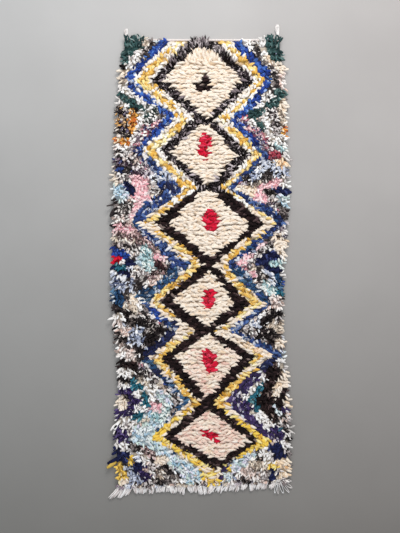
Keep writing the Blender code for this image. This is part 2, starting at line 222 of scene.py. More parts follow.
# %% Rags left of the diamonds
LEFT_RAGS = (
    Bar("pine", -34.4, 112, -41, 103, 5.1), Bar("teal", -42, 100.9, -40.6, 100.5, 1.3),
    Bar("sky", -22.4, 111.8, -21.6, 111.2, 1.3), Bar("slate", -24.8, 111, -24.2, 110, 1.6),
    Bar("fawn", -27.9, 111.6, -27.3, 110.4, 1.8), Bar("slate", -26.8, 107.8, -29.4, 104.6, 2.5),
    Bar("white", -31, 106, -37, 99.5, 2.4), Bar("soot", -40.5, 99.2, -37.5, 98.6, 1.2),
    Bar("cream", -42, 96.4, -39, 95.4, 2.4), Bar("fawn", -43, 92.5, -40, 91.5, 2.8),
    Bar("white", -42, 88, -37, 87.5, 3.7), Bar("pine", -41, 84.5, -30, 79.5, 2.6),
    Bar("white", -43, 81.5, -39, 80, 2.4), Bar("white", -35, 85, -29, 80, 2.1),
    Bar("white", -27.8, 78.4, -27.0, 77.4, 1.5), Bar("moss", -28, 77.5, -24, 72, 3.4),
    Bar("pine", -27.4, 75, -25.4, 72.4, 1.7),
    Bar("ember", -41.5, 77, -40.5, 66.5, 4.8), Bar("orange", -35, 76, -33.5, 68, 2.6),
    Bar("orange", -42, 62.5, -38, 61.5, 2.4), Bar("white", -31, 77, -31, 70, 1.6),
    Bar("white", -31, 70, -34.5, 63.5, 1.9), Bar("rose", -22, 71.5, -28, 66, 2.4),
    Bar("plum", -24.6, 68.6, -27.4, 65.6, 1.5),
    Bar("plum", -19.5, 75.4, -18.6, 74.4, 2.0), Bar("mauve", -31, 67, -33, 59, 2.8),
    Bar("plum", -33, 56.8, -29.4, 53.6, 2.5),
    Bar("ash", -42, 56.5, -37, 55, 3.6), Bar("white", -41.5, 59.4, -38.5, 58.8, 1.6),
    Bar("ash", -35, 55, -33, 52, 2.8),
    Bar("plum", -42.5, 51.5, -38.5, 51, 2.4), Bar("denim", -41.5, 47.8, -39, 47.5, 1.3),
    Bar("plum", -35, 48.8, -30.6, 46.2, 3.1), Bar("mauve", -31, 50, -27, 46, 2.8),
    Bar("cream", -46, 46.5, -43, 42.5, 2.8), Bar("ash", -42, 43.0, -37, 41.8, 2.6),
    Bar("sky", -42.3, 38.8, -41.0, 34, 4.8), Bar("navy", -36.8, 39.2, -35.8, 38.2, 2.8),
    Bar("pink", -31.5, 43.5, -29.5, 31.5, 4.4), Bar("haze", -24.5, 43.5, -23.5, 42.5, 2.0),
    Bar("ash", -25, 40, -22, 36, 2.6), Bar("denim", -20.6, 38.6, -19.4, 37.4, 1.7),
    Bar("fawn", -25, 34.5, -24, 33.5, 1.6), Bar("sky", -21, 46, -17, 43.5, 1.8),
    Bar("slate", -47, 30, -36, 28.4, 4.9), Bar("dusty", -43, 20.9, -36, 20.2, 1.2),
    Bar("slate", -44, 26.4, -37, 25.8, 2.5), Bar("blush", -36, 32.6, -34, 31.4, 1.8),
    Bar("pink", -31.5, 31, -36, 25.5, 2.6), Bar("blush", -42.5, 24, -37.5, 22.4, 2.3),
    Bar("pink", -41, 19.2, -36.5, 17.6, 2.2), Bar("dusty", -42.5, 15.6, -38.5, 15.0, 1.5),
    Bar("fawn", -43, 12.8, -36, 12.2, 1.9), Bar("ash", -43.5, 10.3, -38.5, 9.5, 2.4),
    Bar("dusty", -33, 15.5, -29, 12.5, 2.2), Bar("dusty", -27, 11.0, -23, 7.0, 1.9),
    Bar("aqua", -22.4, 11, -20.6, 10, 1.6), Bar("pink", -22.5, 5, -20, 3, 1.8),
    Bar("blue", -44.5, 8, -40, 5.5, 2.8), Bar("scarlet", -45.5, 3.6, -41.5, 1.8, 1.8),
    Bar("scarlet", -44.2, 0.6, -43.4, 0.4, 0.8), Bar("white", -40.6, 2.0, -39.4, 1.0, 1.2),
    Bar("haze", -37.0, -0.4, -34.5, -1.6, 1.8),
    Bar("teal", -41.8, -1.2, -40.2, -1.6, 1.5), Bar("navy", -44.5, -2.6, -37, -3.6, 2.0),
    Bar("navy", -36.8, 2.0, -35.8, 1.4, 1.7), Bar("ash", -38.5, 8.5, -32, 5, 2.8),
    Bar("aqua", -28.3, 7, -26.5, -1.5, 2.7), Bar("sky", -31.8, 3, -31, -1, 2.4),
    Bar("ash", -32.5, -4, -29.5, -2.5, 2.1), Bar("maroon", -21.2, -0.2, -20, -1.2, 1.7),
    Bar("dusty", -21, -2.5, -26, -6, 2.3), Bar("slate", -28.8, -6.6, -33.0, -11.6, 2.4),
    Bar("haze", -45, -6, -38, -11, 4.2), Bar("blush", -22.6, -6.8, -26.0, -9.2, 1.9),
    Bar("marine", -28.6, -12.6, -30.4, -14.4, 1.6),
    Bar("marine", -44.5, -14.4, -41, -17, 2.8), Bar("slate", -37, -11.5, -38, -15.5, 2.3),
    Bar("cream", -35.6, -16.4, -34.6, -17.4, 1.9), Bar("fawn", -37.5, -20.0, -35.5, -21, 2.2),
    Bar("fawn", -34.4, -21.6, -33.0, -22.6, 1.8), Bar("soot", -44, -21.8, -38.5, -23.0, 1.8),
    Bar("white", -46.5, -25.0, -41, -26.5, 2.3), Bar("soot", -36.5, -26.8, -32.5, -29, 2.5),
    Bar("soot", -27.6, -29.6, -23.5, -32.8, 2.3), Bar("blush", -42.5, -29.6, -39, -32.5, 3.2),
    Bar("haze", -34, -33.2, -29.5, -32.4, 2.3), Bar("soot", -26.5, -37, -20.5, -33.8, 2.7),
    Bar("soot", -43.5, -36.5, -39.5, -37, 2.5), Bar("haze", -36.5, -38.2, -31.5, -37.6, 2.3),
    Bar("blush", -39.8, -41.6, -37.0, -45, 4.0), Bar("soot", -32.0, -41.4, -30.4, -44.0, 2.1),
    Bar("ink", -41, -49.5, -34, -50.5, 2.2),
    Bar("white", -41, -54, -37.5, -54, 2.4), Bar("slate", -33, -53.0, -28.5, -53.6, 1.7),
    Bar("soot", -42, -57.2, -37.5, -57.2, 1.2), Bar("white", -41.5, -59.8, -36.5, -60.5, 1.7),
    Bar("teal", -34.8, -59.5, -31, -61.5, 1.3), Bar("fawn", -30.4, -57.6, -28.4, -59.4, 2.3),
    Bar("white", -28.5, -61, -24, -63.5, 1.9), Bar("teal", -29.6, -64, -28.0, -69, 1.3),
    Bar("violet", -41.5, -62.5, -37, -64, 2.3), Bar("cream", -41, -67, -39.5, -71, 2.7),
    Bar("violet", -35.4, -66.5, -33.4, -68.0, 1.8),
    Bar("white", -31.8, -71.2, -30.6, -72.6, 2.0), Bar("white", -33.6, -64.2, -32.2, -65.2, 1.6),
    Bar("white", -30.3, -67.7, -29.3, -68.3, 1.3),
    Bar("violet", -41, -74.3, -36.6, -73.0, 2.3), Bar("teal", -30.5, -74.3, -34.5, -77.5, 1.3),
    Bar("white", -39.0, -76.6, -33, -78, 1.6), Bar("sky", -21.5, -64.5, -17, -67.5, 2.4),
    Bar("fawn", -20.2, -60.4, -18.6, -61.6, 1.6), Bar("ash", -17, -62, -13, -67, 2.2),
    Bar("pink", -24.5, -70, -21.5, -71.5, 1.5), Bar("aqua", -19.5, -72.5, -24, -77.5, 3.0),
    Bar("sky", -24.5, -79, -31, -86, 4.6), Bar("white", -47, -78.6, -42, -80, 1.8),
    Bar("violet", -41.6, -83.6, -39.2, -87.0, 2.7), Bar("ash", -37.6, -81.5, -36, -84, 1.9),
    Bar("white", -42, -89.4, -39, -90.6, 1.9), Bar("navy", -42.5, -93.4, -40, -97, 2.7),
    Bar("navy", -49, -97.0, -44.5, -97.2, 2.0), Bar("slate", -35, -90, -31.5, -92.5, 1.9),
    Bar("white", -34.5, -93.5, -31, -95.5, 1.5), Bar("dusty", -28.5, -93.0, -24.5, -94.4, 1.9),
    Bar("white", -29.0, -96.2, -27.4, -97.0, 1.5), Bar("sky", -29, -87.5, -14, -95.5, 2.4),
    Bar("sky", -11.5, -98.5, -5, -105, 3.6), Bar("white", -10, -100.8, -8.8, -101.8, 1.4),
    Bar("lemon", -37.2, -97.0, -35.2, -97.8, 1.6), Bar("navy", -33.2, -99.2, -32.2, -100.4, 2.3),
    Bar("violet", -30.2, -102.8, -28.6, -104.6, 2.4), Bar("haze", -37.2, -102.6, -35, -106, 2.6),
    Bar("straw", -42.3, -102.8, -40.2, -105.2, 3.5), Bar("soot", -25, -97.2, -23.8, -97.9, 1.3),
    Bar("ash", -25, -100, -23, -104, 2.2), Bar("fawn", -22.2, -103.2, -21, -104.4, 1.8),
    Bar("soot", -16.2, -104.2, -14.6, -105.4, 1.6), Bar("slate", -18, -106, -16, -107, 1.6),
    Bar("cream", -39.8, -108, -39, -108.4, 1.5), Bar("cream", -21, -96.5, -19, -98, 1.9),
)
print(len(LEFT_RAGS), "rags at the left")

# %% Rags right of the diamonds
RIGHT_RAGS = (
    Bar("white", 21.5, 113, 24, 109, 1.5), Bar("slate", 26.5, 112, 28, 106, 2.2),
    Bar("slate", 29, 104, 34, 98.4, 1.8), Bar("slate", 34, 97, 36.5, 88, 3.0),
    Bar("white", 28.4, 111.4, 31.4, 104.4, 2.7), Bar("cream", 32.4, 103.6, 36.8, 99.4, 1.8),
    Bar("cream", 38.5, 100, 41.5, 97.5, 2.6), Bar("blush", 41, 94.5, 42, 88, 3.0),
    Bar("pine", 36.6, 112.5, 39.8, 102.8, 4.7), Bar("pine", 38.5, 87, 42, 84, 2.5),
    Bar("white", 33.5, 86, 35.0, 85.0, 1.3), Bar("pine", 37.5, 82, 33.5, 79.5, 2.2),
    Bar("white", 32, 82, 27.5, 79, 1.7), Bar("white", 24.4, 72, 27, 67.6, 1.4),
    Bar("cream", 39.6, 81, 40.4, 80, 2.1),
    Bar("soot", 42, 79.5, 43, 78.5, 1.4), Bar("pine", 29, 77, 25.5, 75.2, 1.8),
    Bar("rose", 18.4, 73.5, 24.5, 67.8, 2.4), Bar("pine", 27.0, 72.4, 30.6, 69, 1.4),
    Bar("white", 31.5, 74, 33.5, 67, 2.3), Bar("ash", 34, 76, 38, 73, 2.4),
    Bar("fawn", 40, 76, 42.5, 72, 2.4), Bar("ash", 35, 70, 38.5, 67.5, 2.2),
    Bar("rose", 24.5, 67.8, 30.9, 62, 1.8), Bar("mauve", 29, 61.5, 33.5, 57.5, 2.2),
    Bar("orange", 39.8, 67.5, 42.8, 65.2, 2.3), Bar("white", 34, 64, 42.5, 62.5, 1.9),
    Bar("aqua", 38, 58.5, 42, 57.5, 2.2), Bar("ash", 33.5, 60.5, 36, 58.5, 1.9),
    Bar("brick", 35, 55.7, 38, 54.2, 1.7), Bar("ash", 40.5, 55, 42, 54.5, 1.9),
    Bar("peach", 39, 51.2, 42.5, 50.2, 2.0), Bar("haze", 37, 48, 43.5, 46.5, 2.0),
    Bar("haze", 25, 45.8, 29, 45.0, 2.2), Bar("slate", 31.5, 45.0, 34, 44, 1.9),
    Bar("haze", 31, 51, 35, 49, 2.2),
    Bar("pink", 37.5, 41.5, 28, 37.5, 1.9), Bar("white", 39.5, 41.8, 44, 41.2, 1.9),
    Bar("navy", 37.5, 38, 43, 37, 2.1), Bar("soot", 32.5, 37, 36, 34.5, 2.0),
    Bar("sky", 39.5, 33.5, 43.5, 31, 2.4), Bar("pink", 27.5, 35.5, 30.6, 31.4, 2.4),
    Bar("cream", 20, 38, 26, 37, 2.1), Bar("slate", 38, 29, 43.5, 27, 1.7),
    Bar("mauve", 31.6, 30, 36.5, 25.6, 2.8), Bar("slate", 40.5, 25.0, 43, 24.4, 1.8),
    Bar("cream", 38, 11.8, 41.5, 8.2, 3.9), Bar("mauve", 37, 18.8, 43, 16, 2.9),
    Bar("soot", 36.8, 16.6, 40.4, 14.6, 1.2),
    Bar("slate", 31, 14.6, 35.5, 11.0, 2.3), Bar("pink", 30.5, 12, 27, 9, 1.9),
    Bar("haze", 25.4, 8.4, 24.4, 7.4, 1.4), Bar("pink", 22.6, 5.6, 17.5, 1.0, 1.9),
    Bar("ash", 33, 9, 24.5, 1.5, 1.7), Bar("navy", 37.6, 5.8, 31.5, 2, 1.9),
    Bar("navy", 31, 1, 38, -5, 2.3), Bar("marine", 38, -6, 39.4, -12, 2.2),
    Bar("aqua", 35.5, 1, 43.5, 0, 2.4), Bar("pink", 23.6, -3.6, 26.8, -5.6, 1.9),
    Bar("slate", 28.5, -5, 31.0, -8.0, 2.1), Bar("haze", 33.4, -3.6, 36.2, -6.6, 2.2),
    Bar("violet", 38.2, -4.2, 38.8, -4.8, 1.3),
    Bar("white", 41.5, -4.5, 42, -5.5, 1.6), Bar("aqua", 31.5, -9, 36.5, -13.5, 2.4),
    Bar("marine", 38.4, -9.5, 42, -12.5, 2.0), Bar("teal", 38.6, -14, 40.4, -14.6, 1.4),
    Bar("blush", 37, -18.5, 42, -19, 3.3), Bar("soot", 35.5, -24, 41, -24.5, 1.9),
    Bar("soot", 31.5, -28, 34, -25.8, 2.0), Bar("fawn", 35.5, -29.8, 42, -31, 3.1),
    Bar("ash", 21.5, -31.4, 24.0, -33.0, 2.2),
    Bar("haze", 26.6, -30.2, 29, -31.6, 2.1), Bar("soot", 31, -33.4, 36.6, -36.4, 2.9),
    Bar("cream", 38, -38.6, 41.5, -39, 1.9), Bar("blue", 19.5, -36.5, 21.5, -38, 1.4),
    Bar("sky", 41.3, -44, 42.5, -47, 1.4), Bar("white", 38, -48.5, 42, -50, 2.1),
    Bar("ink", 35, -47.5, 37, -54, 3.0), Bar("ink", 36, -54, 33.4, -62.5, 2.8),
    Bar("cream", 40.6, -56.5, 37.2, -64, 2.6), Bar("ink", 42, -63.4, 39.5, -67, 1.7),
    Bar("cream", 42.8, -67.5, 43, -70.5, 1.8), Bar("white", 30.5, -55.8, 28.6, -58.2, 1.7),
    Bar("teal", 30.2, -60, 27.4, -64, 1.7), Bar("teal", 24, -67.2, 27, -68, 1.7),
    Bar("white", 27, -61.4, 22.6, -65.2, 1.3), Bar("teal", 27.5, -70.8, 28.5, -71.2, 1.6),
    Bar("ink", 30.5, -68, 36.8, -75.0, 4.1), Bar("sky", 35.5, -71, 39, -74, 1.4),
    Bar("violet", 40.6, -71.2, 41.4, -71.8, 1.5), Bar("violet", 21.4, -70.2, 24.0, -72.6, 1.5),
    Bar("white", 27.8, -75, 33.6, -80, 2.5), Bar("ash", 40.5, -78, 43.5, -84, 3.7),
    Bar("violet", 36.2, -82.4, 39.2, -84.6, 2.3), Bar("teal", 38.6, -81.8, 39.4, -82.2, 1.2),
    Bar("soot", 42.8, -87.0, 44, -87.8, 1.4), Bar("white", 41, -89.4, 43.4, -90.8, 1.8),
    Bar("ash", 42, -92, 44.5, -94, 2.0), Bar("navy", 36.8, -92.0, 39.8, -93.8, 2.8),
    Bar("white", 31.6, -93.4, 32.8, -94.4, 1.8),
    Bar("sky", 18.5, -96, 24.5, -94.5, 2.2), Bar("sky", 15.5, -99, 18.5, -101, 2.4),
    Bar("sky", 12, -105, 13, -106, 2.0), Bar("fawn", 26.5, -101, 31, -101, 3.0),
    Bar("blush", 20.5, -103.5, 25, -103.8, 2.6), Bar("ash", 28, -104, 33, -104, 2.6),
    Bar("white", 32.6, -97.2, 34.2, -97.8, 1.5),
    Bar("soot", 29.0, -96.6, 30.2, -97.2, 1.3), Bar("soot", 19.7, -105.6, 20.3, -106, 1.1),
    Bar("lemon", 11.7, -101.8, 12.3, -102.2, 1.6), Bar("navy", 7.6, -99.5, 8.8, -103, 1.8),
    Bar("lemon", 2.5, -104, 6, -107.5, 2.8), Bar("peach", 40.6, -99.2, 42, -103.6, 2.6),
    Bar("lemon", 42.2, -96.4, 42.8, -97, 1.3), Bar("lemon", 34.6, -100.4, 37, -101.5, 1.6),
    Bar("navy", 33.5, -102.5, 36, -106, 2.4),
)
print(len(RIGHT_RAGS), "rags at the right")

# %% Places where the weaver broke the blue and gold bands
BAND_BREAKS = (
    Bar("white", -33, 88.5, -31.4, 87.6, 0.9), Bar("white", -24.2, 79.0, -22.8, 77.6, 0.8),
    Bar("white", -29.6, 55.6, -28.2, 54.2, 0.9), Bar("haze", -19.4, 46.2, -16.6, 44.6, 1.6),
    Bar("navy", -15.8, 39.8, -14.4, 36.6, 1.4), Bar("white", -20.8, 33.8, -19.8, 32.6, 0.9),
    Bar("navy", -14.2, -29.4, -12.8, -30.2, 1.5), Bar("blue", -21.0, -26.0, -25.5, -22.0, 1.6),
    Bar("navy", -26.2, -41.4, -24.6, -42.6, 1.9),
    Bar("navy", -24.6, -53.2, -22.4, -54.8, 1.8), Bar("peach", 23.0, -40.2, 28.0, -42.8, 1.5),
    Bar("cream", 29.5, -43.4, 33.4, -44.6, 1.5), Bar("lemon", 28.4, -87.4, 32.4, -90.2, 3.4),
)
print(len(BAND_BREAKS), "breaks of the bands")

# %% [markdown]
# ## The yarns
#
# No yarn in such a rug is one colour. A skein of dark wool has grey fleece spun in, and a torn
# shirt shows its print and its paler back. So a yarn is a short list of tints with their shares,
# and each lock draws one tint. Some yarns are spun with a strand of another. Undyed wool is warmer
# down at its knot, where dust sits, and the collars that show between the locks take a darker
# yarn, which is painted shade as well. The tints are written as they look on a screen, and
# turned into linear light where they are used.

# %% Tints of each yarn
YARNS = {
    "cream": ((5, "#F8ECDD"), (4, "#F3E3D0"), (1.2, "#ECD2B4")),
    "shell": ((5, "#F4E0CF"), (4, "#EFD2C2"), (1.4, "#E8BDAE"), (1, "#F8ECE0")),
    "milk": ((5, "#FBF7F1"), (3, "#F3EBE2"), (1.2, "#EADBC8")),
    "ink": ((6, "#1A1011"), (2.4, "#2E1F1F"), (1.1, "#524040"), (0.3, "#87766F")),
    "fleck": ((5, "#130D0F"), (2.2, "#2A2125"), (1.5, "#83777B"), (1.1, "#C0B5B7")),
    "gold": ((4, "#EFC163"), (3, "#E0AC48"), (3.4, "#F9E39C"), (0.8, "#BC8830")),
    "primrose": ((4, "#F6E6A8"), (3, "#FBF4DC"), (2, "#EBD078")),
    "lemon": ((6, "#F7D257"), (2.6, "#E8B642"), (2.4, "#FAE89A")),
    "straw": ((5, "#F0CB62"), (2, "#D2A54C"), (2.4, "#F8EAC0")),
    "crimson": ((5, "#DA1238"), (2, "#BE0A2E"), (1.4, "#E84866")),
    "scarlet": ((1, "#DA1431"),),
    "blue": ((4, "#2B4CA4"), (3, "#1D3276"), (2, "#4C78C4"), (1.4, "#151F54"), (0.5, "#A9BEE0")),
    "navy": ((5, "#1D234A"), (3, "#141634"), (1, "#434D7E")),
    "denim": ((4, "#2C427E"), (3, "#1A244B"), (1.8, "#5A76AE"), (0.8, "#DFE3EC"), (0.8, "#2C5678")),
    "marine": ((5, "#27496F"), (3, "#1A2E49"), (1.4, "#5C83A4"), (0.8, "#D5DCE2"), (0.6, "#3A4E96")),
    "teal": ((5, "#2F7285"), (3, "#24596A"), (1.2, "#76A8B0")),
    "pine": ((5, "#3D5C5B"), (3.4, "#2A4142"), (2, "#647F7C"), (0.4, "#A3B6B2")),
    "moss": ((3, "#42534D"), (2, "#7C8684"), (4, "#F0EDE9"), (3, "#232E2C"), (1, "#C3B4AC")),
    "violet": ((5, "#3C2D5C"), (3, "#2A2144"), (1, "#6A5A8C"), (0.8, "#E2DCE4")),
    "plum": ((4, "#523F4E"), (3, "#2B2232"), (2.6, "#8C7585"), (2.4, "#E9E0E2"), (1, "#3D4574")),
    "mauve": ((3, "#8B7B88"), (3, "#4A4150"), (2.4, "#C6BAC2"), (1.4, "#B06A78"), (2.2, "#F3EDE9")),
    "dusty": ((4, "#8E7070"), (3, "#4C3A3A"), (2.4, "#DDC0BC"), (2, "#2E2223")),
    "maroon": ((4, "#3E2629"), (2, "#6B4A4A"), (1.4, "#B39A96"), (2, "#241618")),
    "rose": ((3, "#D27888"), (1.6, "#967A8A"), (3, "#EEC0C2"), (1.4, "#44426A"), (2.4, "#F6F0EA")),
    "brick": ((4, "#B04656"), (2, "#7C5560"), (1, "#D5B2B2")),
    "pink": ((5, "#F5C3C8"), (3, "#ECABB4"), (3.4, "#FADEDF"), (0.6, "#D08E94")),
    "blush": ((4, "#F2E1D9"), (4, "#FBF5F0"), (2, "#DDBFB2"), (1.4, "#A8958C"), (0.6, "#5A4A46")),
    "peach": ((4, "#F4DABA"), (3, "#F9EBD8"), (1.5, "#E5B786")),
    "orange": ((4, "#DF9440"), (4, "#E8B25A"), (1.6, "#C8642C"), (2.0, "#F2E0C2"), (1.2, "#3C2E2C")),
    "ember": ((4, "#2B2226"), (2.2, "#DFA95F"), (2, "#5A5470"), (2.6, "#E4DAD2"), (1.4, "#94795F")),
    "fawn": ((4, "#E4D6C4"), (3, "#F8F2EA"), (2, "#B4A190"), (1.2, "#6B5E58")),
    "white": ((7, "#FDFAF7"), (3, "#F0EBE7"), (0.8, "#C9C1C0")),
    "ash": ((4, "#F1ECE8"), (3, "#C6BEBC"), (2.4, "#857B7A"), (2.2, "#332C2D"), (1.2, "#CDB7AC")),
    "haze": ((4, "#CAD0DE"), (3.6, "#F0F0F2"), (2.4, "#98A1B8"), (1.4, "#505874")),
    "sky": ((4, "#CFE1EA"), (4, "#EDF2F2"), (2, "#9CBDD2"), (1.8, "#D2E4DB"), (1.4, "#DEDAE9")),
    "aqua": ((4, "#B4D3D6"), (3.4, "#E8F0EC"), (1.6, "#7FA5AB"), (1.6, "#F8F5EF")),
    "slate": ((4, "#4C4545"), (4, "#2C2627"), (2, "#8F8582"), (1.8, "#E0D9D3")),
    "soot": ((6, "#1C1617"), (3, "#322A2B"), (1.0, "#6F6460"), (0.8, "#C6BDB6")),
    "fleece": ((4, "#8E8486"), (3, "#C9C0C0"), (2, "#5C5154")),
    "warp": ((5, "#FFFBF9"), (3, "#F5EFEC"), (1.4, "#DACFCB")),
}
YARN_NAMES = tuple(YARNS)
YARN_INDEX = {name: number for number, name in enumerate(YARN_NAMES)}
SPUN_WITH = {
    "fleck": "fleece", "plum": "ash", "mauve": "white", "moss": "white", "dusty": "blush",
    "rose": "white", "ember": "fawn", "brick": "slate", "pink": "white",
}
# darker collar yarns between the locks: dust at the knot, and painted shade
DUSTY_SHADED_COLLARS = {
    "cream": "peach", "shell": "peach", "milk": "peach", "white": "fawn", "ash": "slate",
    "haze": "slate", "fleck": "ink",
}


def exchange(table):
    """For each yarn's index the index of the yarn that a table names for it, or else its own."""
    exchanged = np.arange(len(YARN_NAMES))
    for name, other in table.items():
        exchanged[YARN_INDEX[name]] = YARN_INDEX[other]
    return exchanged


def linear(code):
    """A screen colour such as #F0E4CC as linear light, by the sRGB curve."""
    screen = np.array([int(code[i:i + 2], 16) for i in (1, 3, 5)]) / 255
    return np.where(screen <= 0.04045, screen / 12.92, ((screen + 0.055) / 1.055) ** 2.4)


def draw_tints(yarn_of, chance):
    """One linear tint for each lock: the tint of its yarn on whose share its chance falls."""
    tints = np.zeros((len(yarn_of), 3))
    for index, name in enumerate(YARN_NAMES):
        picked = np.flatnonzero(yarn_of == index)
        shares = np.cumsum([share for share, _ in YARNS[name]])
        choice = np.searchsorted(shares / shares[-1], chance[picked])
        tints[picked] = np.array([linear(code) for _, code in YARNS[name]])[choice]
    return tints


print(len(YARN_NAMES), "yarns with", sum(len(tints) for tints in YARNS.values()), "tints")

# %% [markdown]
# ## Puffs and clumps
#
# Shag does not stand evenly. Knots of one rag stand together in puffs a few centimetres wide, and
# the short tufts of the bands in clumps that are a little smaller. All ends of a puff share a tint
# and lean away from its middle. So each place on the runner is told which puff it belongs to, and a
# table of random numbers, one for each puff, gives neighbours the same draw.

# %% Puffs of pile
PUFF_WIDTH = 3.3
PUFF_HEIGHT = 2.6
PUFF_COLUMNS = 64
PUFF_ROWS = 128
PUFF_MOVE = 0.40
CLUMPS_ACROSS = 1.25
CLUMPS_DOWN = 1.10
Puff = namedtuple("Puff", "column row away outward")


def puffs(x, y):
    """The puff of pile that each place in centimetres belongs to. The puffs' middles stand on a
    lattice, each moved at random, and a place belongs to the nearest one. Away is its distance from
    that middle in lattice steps, and outward the angle of the line from the middle to the place."""
    lattice = (PUFF_COLUMNS, PUFF_ROWS, 2)
    moved = np.random.default_rng(61).uniform(-PUFF_MOVE, PUFF_MOVE, lattice)
    column = np.floor(x / PUFF_WIDTH).astype(int) + PUFF_COLUMNS // 2
    row = np.floor(y / PUFF_HEIGHT).astype(int) + PUFF_ROWS // 2
    nearest = Puff(column.copy(), row.copy(), np.full(len(x), np.inf), np.zeros(len(x)))
    for i, j in ((i, j) for i in (-1, 0, 1) for j in (-1, 0, 1)):
        move = moved[column + i, row + j]
        run_x = x / PUFF_WIDTH - (column + i - PUFF_COLUMNS // 2 + 0.5 + move[:, 0])
        run_y = y / PUFF_HEIGHT - (row + j - PUFF_ROWS // 2 + 0.5 + move[:, 1])
        away = np.hypot(run_x, run_y)
        closer = away < nearest.away
        nearest.column[closer] = column[closer] + i
        nearest.row[closer] = row[closer] + j
        nearest.away[closer] = away[closer]
        nearest.outward[closer] = np.arctan2(run_y, run_x)[closer]
    return nearest


def clumps(x, y):
    """The clump of tufts that each place belongs to: puffs again, drawn on a finer scale."""
    return puffs(CLUMPS_ACROSS * x, CLUMPS_DOWN * y)


def puff_number(puff, seed):
    """A random number from 0 to 1 that is the same for the whole of each puff."""
    return np.random.default_rng(seed).random((PUFF_COLUMNS, PUFF_ROWS))[puff.column, puff.row]


def puff_dome(puff):
    """How far each place stands up its puff's round top: 1 in the middle, 0 one step away."""
    return np.clip(1 - puff.away ** 2, 0, 1)


print("puffs", PUFF_WIDTH, "by", PUFF_HEIGHT, "cm")

# %% [markdown]
# ## Reading the chart
#
# The chart is read for thousands of knots at once. Every test below is one array expression, and
# later tests paint over earlier ones, as a weaver would correct a row: rags first, then the bands
# from the outside in, the diamonds, and the small figures last.

# %% Functions that read the chart
MIDDLE = 2.0


def zigzag(turns, along):
    """Where a zigzag lies across the runner: straight lines between its turns."""
    places = [turn.along for turn in turns][::-1]
    return np.interp(along, places, [turn.across for turn in turns][::-1])


def inside_bar(bar, x, y):
    """How deep each point lies in a rounded bar: 1 on its middle line, 0 at its edge."""
    run = np.array([bar.x2 - bar.x1, bar.y2 - bar.y1])
    share = ((x - bar.x1) * run[0] + (y - bar.y1) * run[1]) / (run @ run)
    share = np.clip(share, 0, 1)
    away = np.hypot(x - bar.x1 - share * run[0], y - bar.y1 - share * run[1])
    return 1 - away / bar.half_width


def inside_diamond(diamond, x, y):
    """Whether each point lies between the diamond's two sides, each two straight lines."""
    d = diamond
    left = np.interp(y, [d.bottom, d.left_at, d.top], [d.bottom_at, d.left, d.top_at - d.blunt])
    right = np.interp(y, [d.bottom, d.right_at, d.top], [d.bottom_at, d.right, d.top_at + d.blunt])
    return (y > d.bottom) & (y < d.top) & (x > left) & (x < right)


def read_both_sides(table, left_field, right_field, x, y):
    """One field of a table left of the diamonds' middle and another right of it."""
    return np.where(x < MIDDLE, read_along(table, left_field, y), read_along(table, right_field, y))


middle_of_first = inside_diamond(DIAMONDS[0], np.array([0.0]), np.array([90.0]))
print("the first diamond holds its own middle:", bool(middle_of_first[0]))

# %% [markdown]
# The gold wool does not fill its band. This table says for each height from where to where it lies
# in the pale wool, in centimetres outward from the dark outline, with which share of the knots, and
# which share of the pale knots has a yellow tinge.

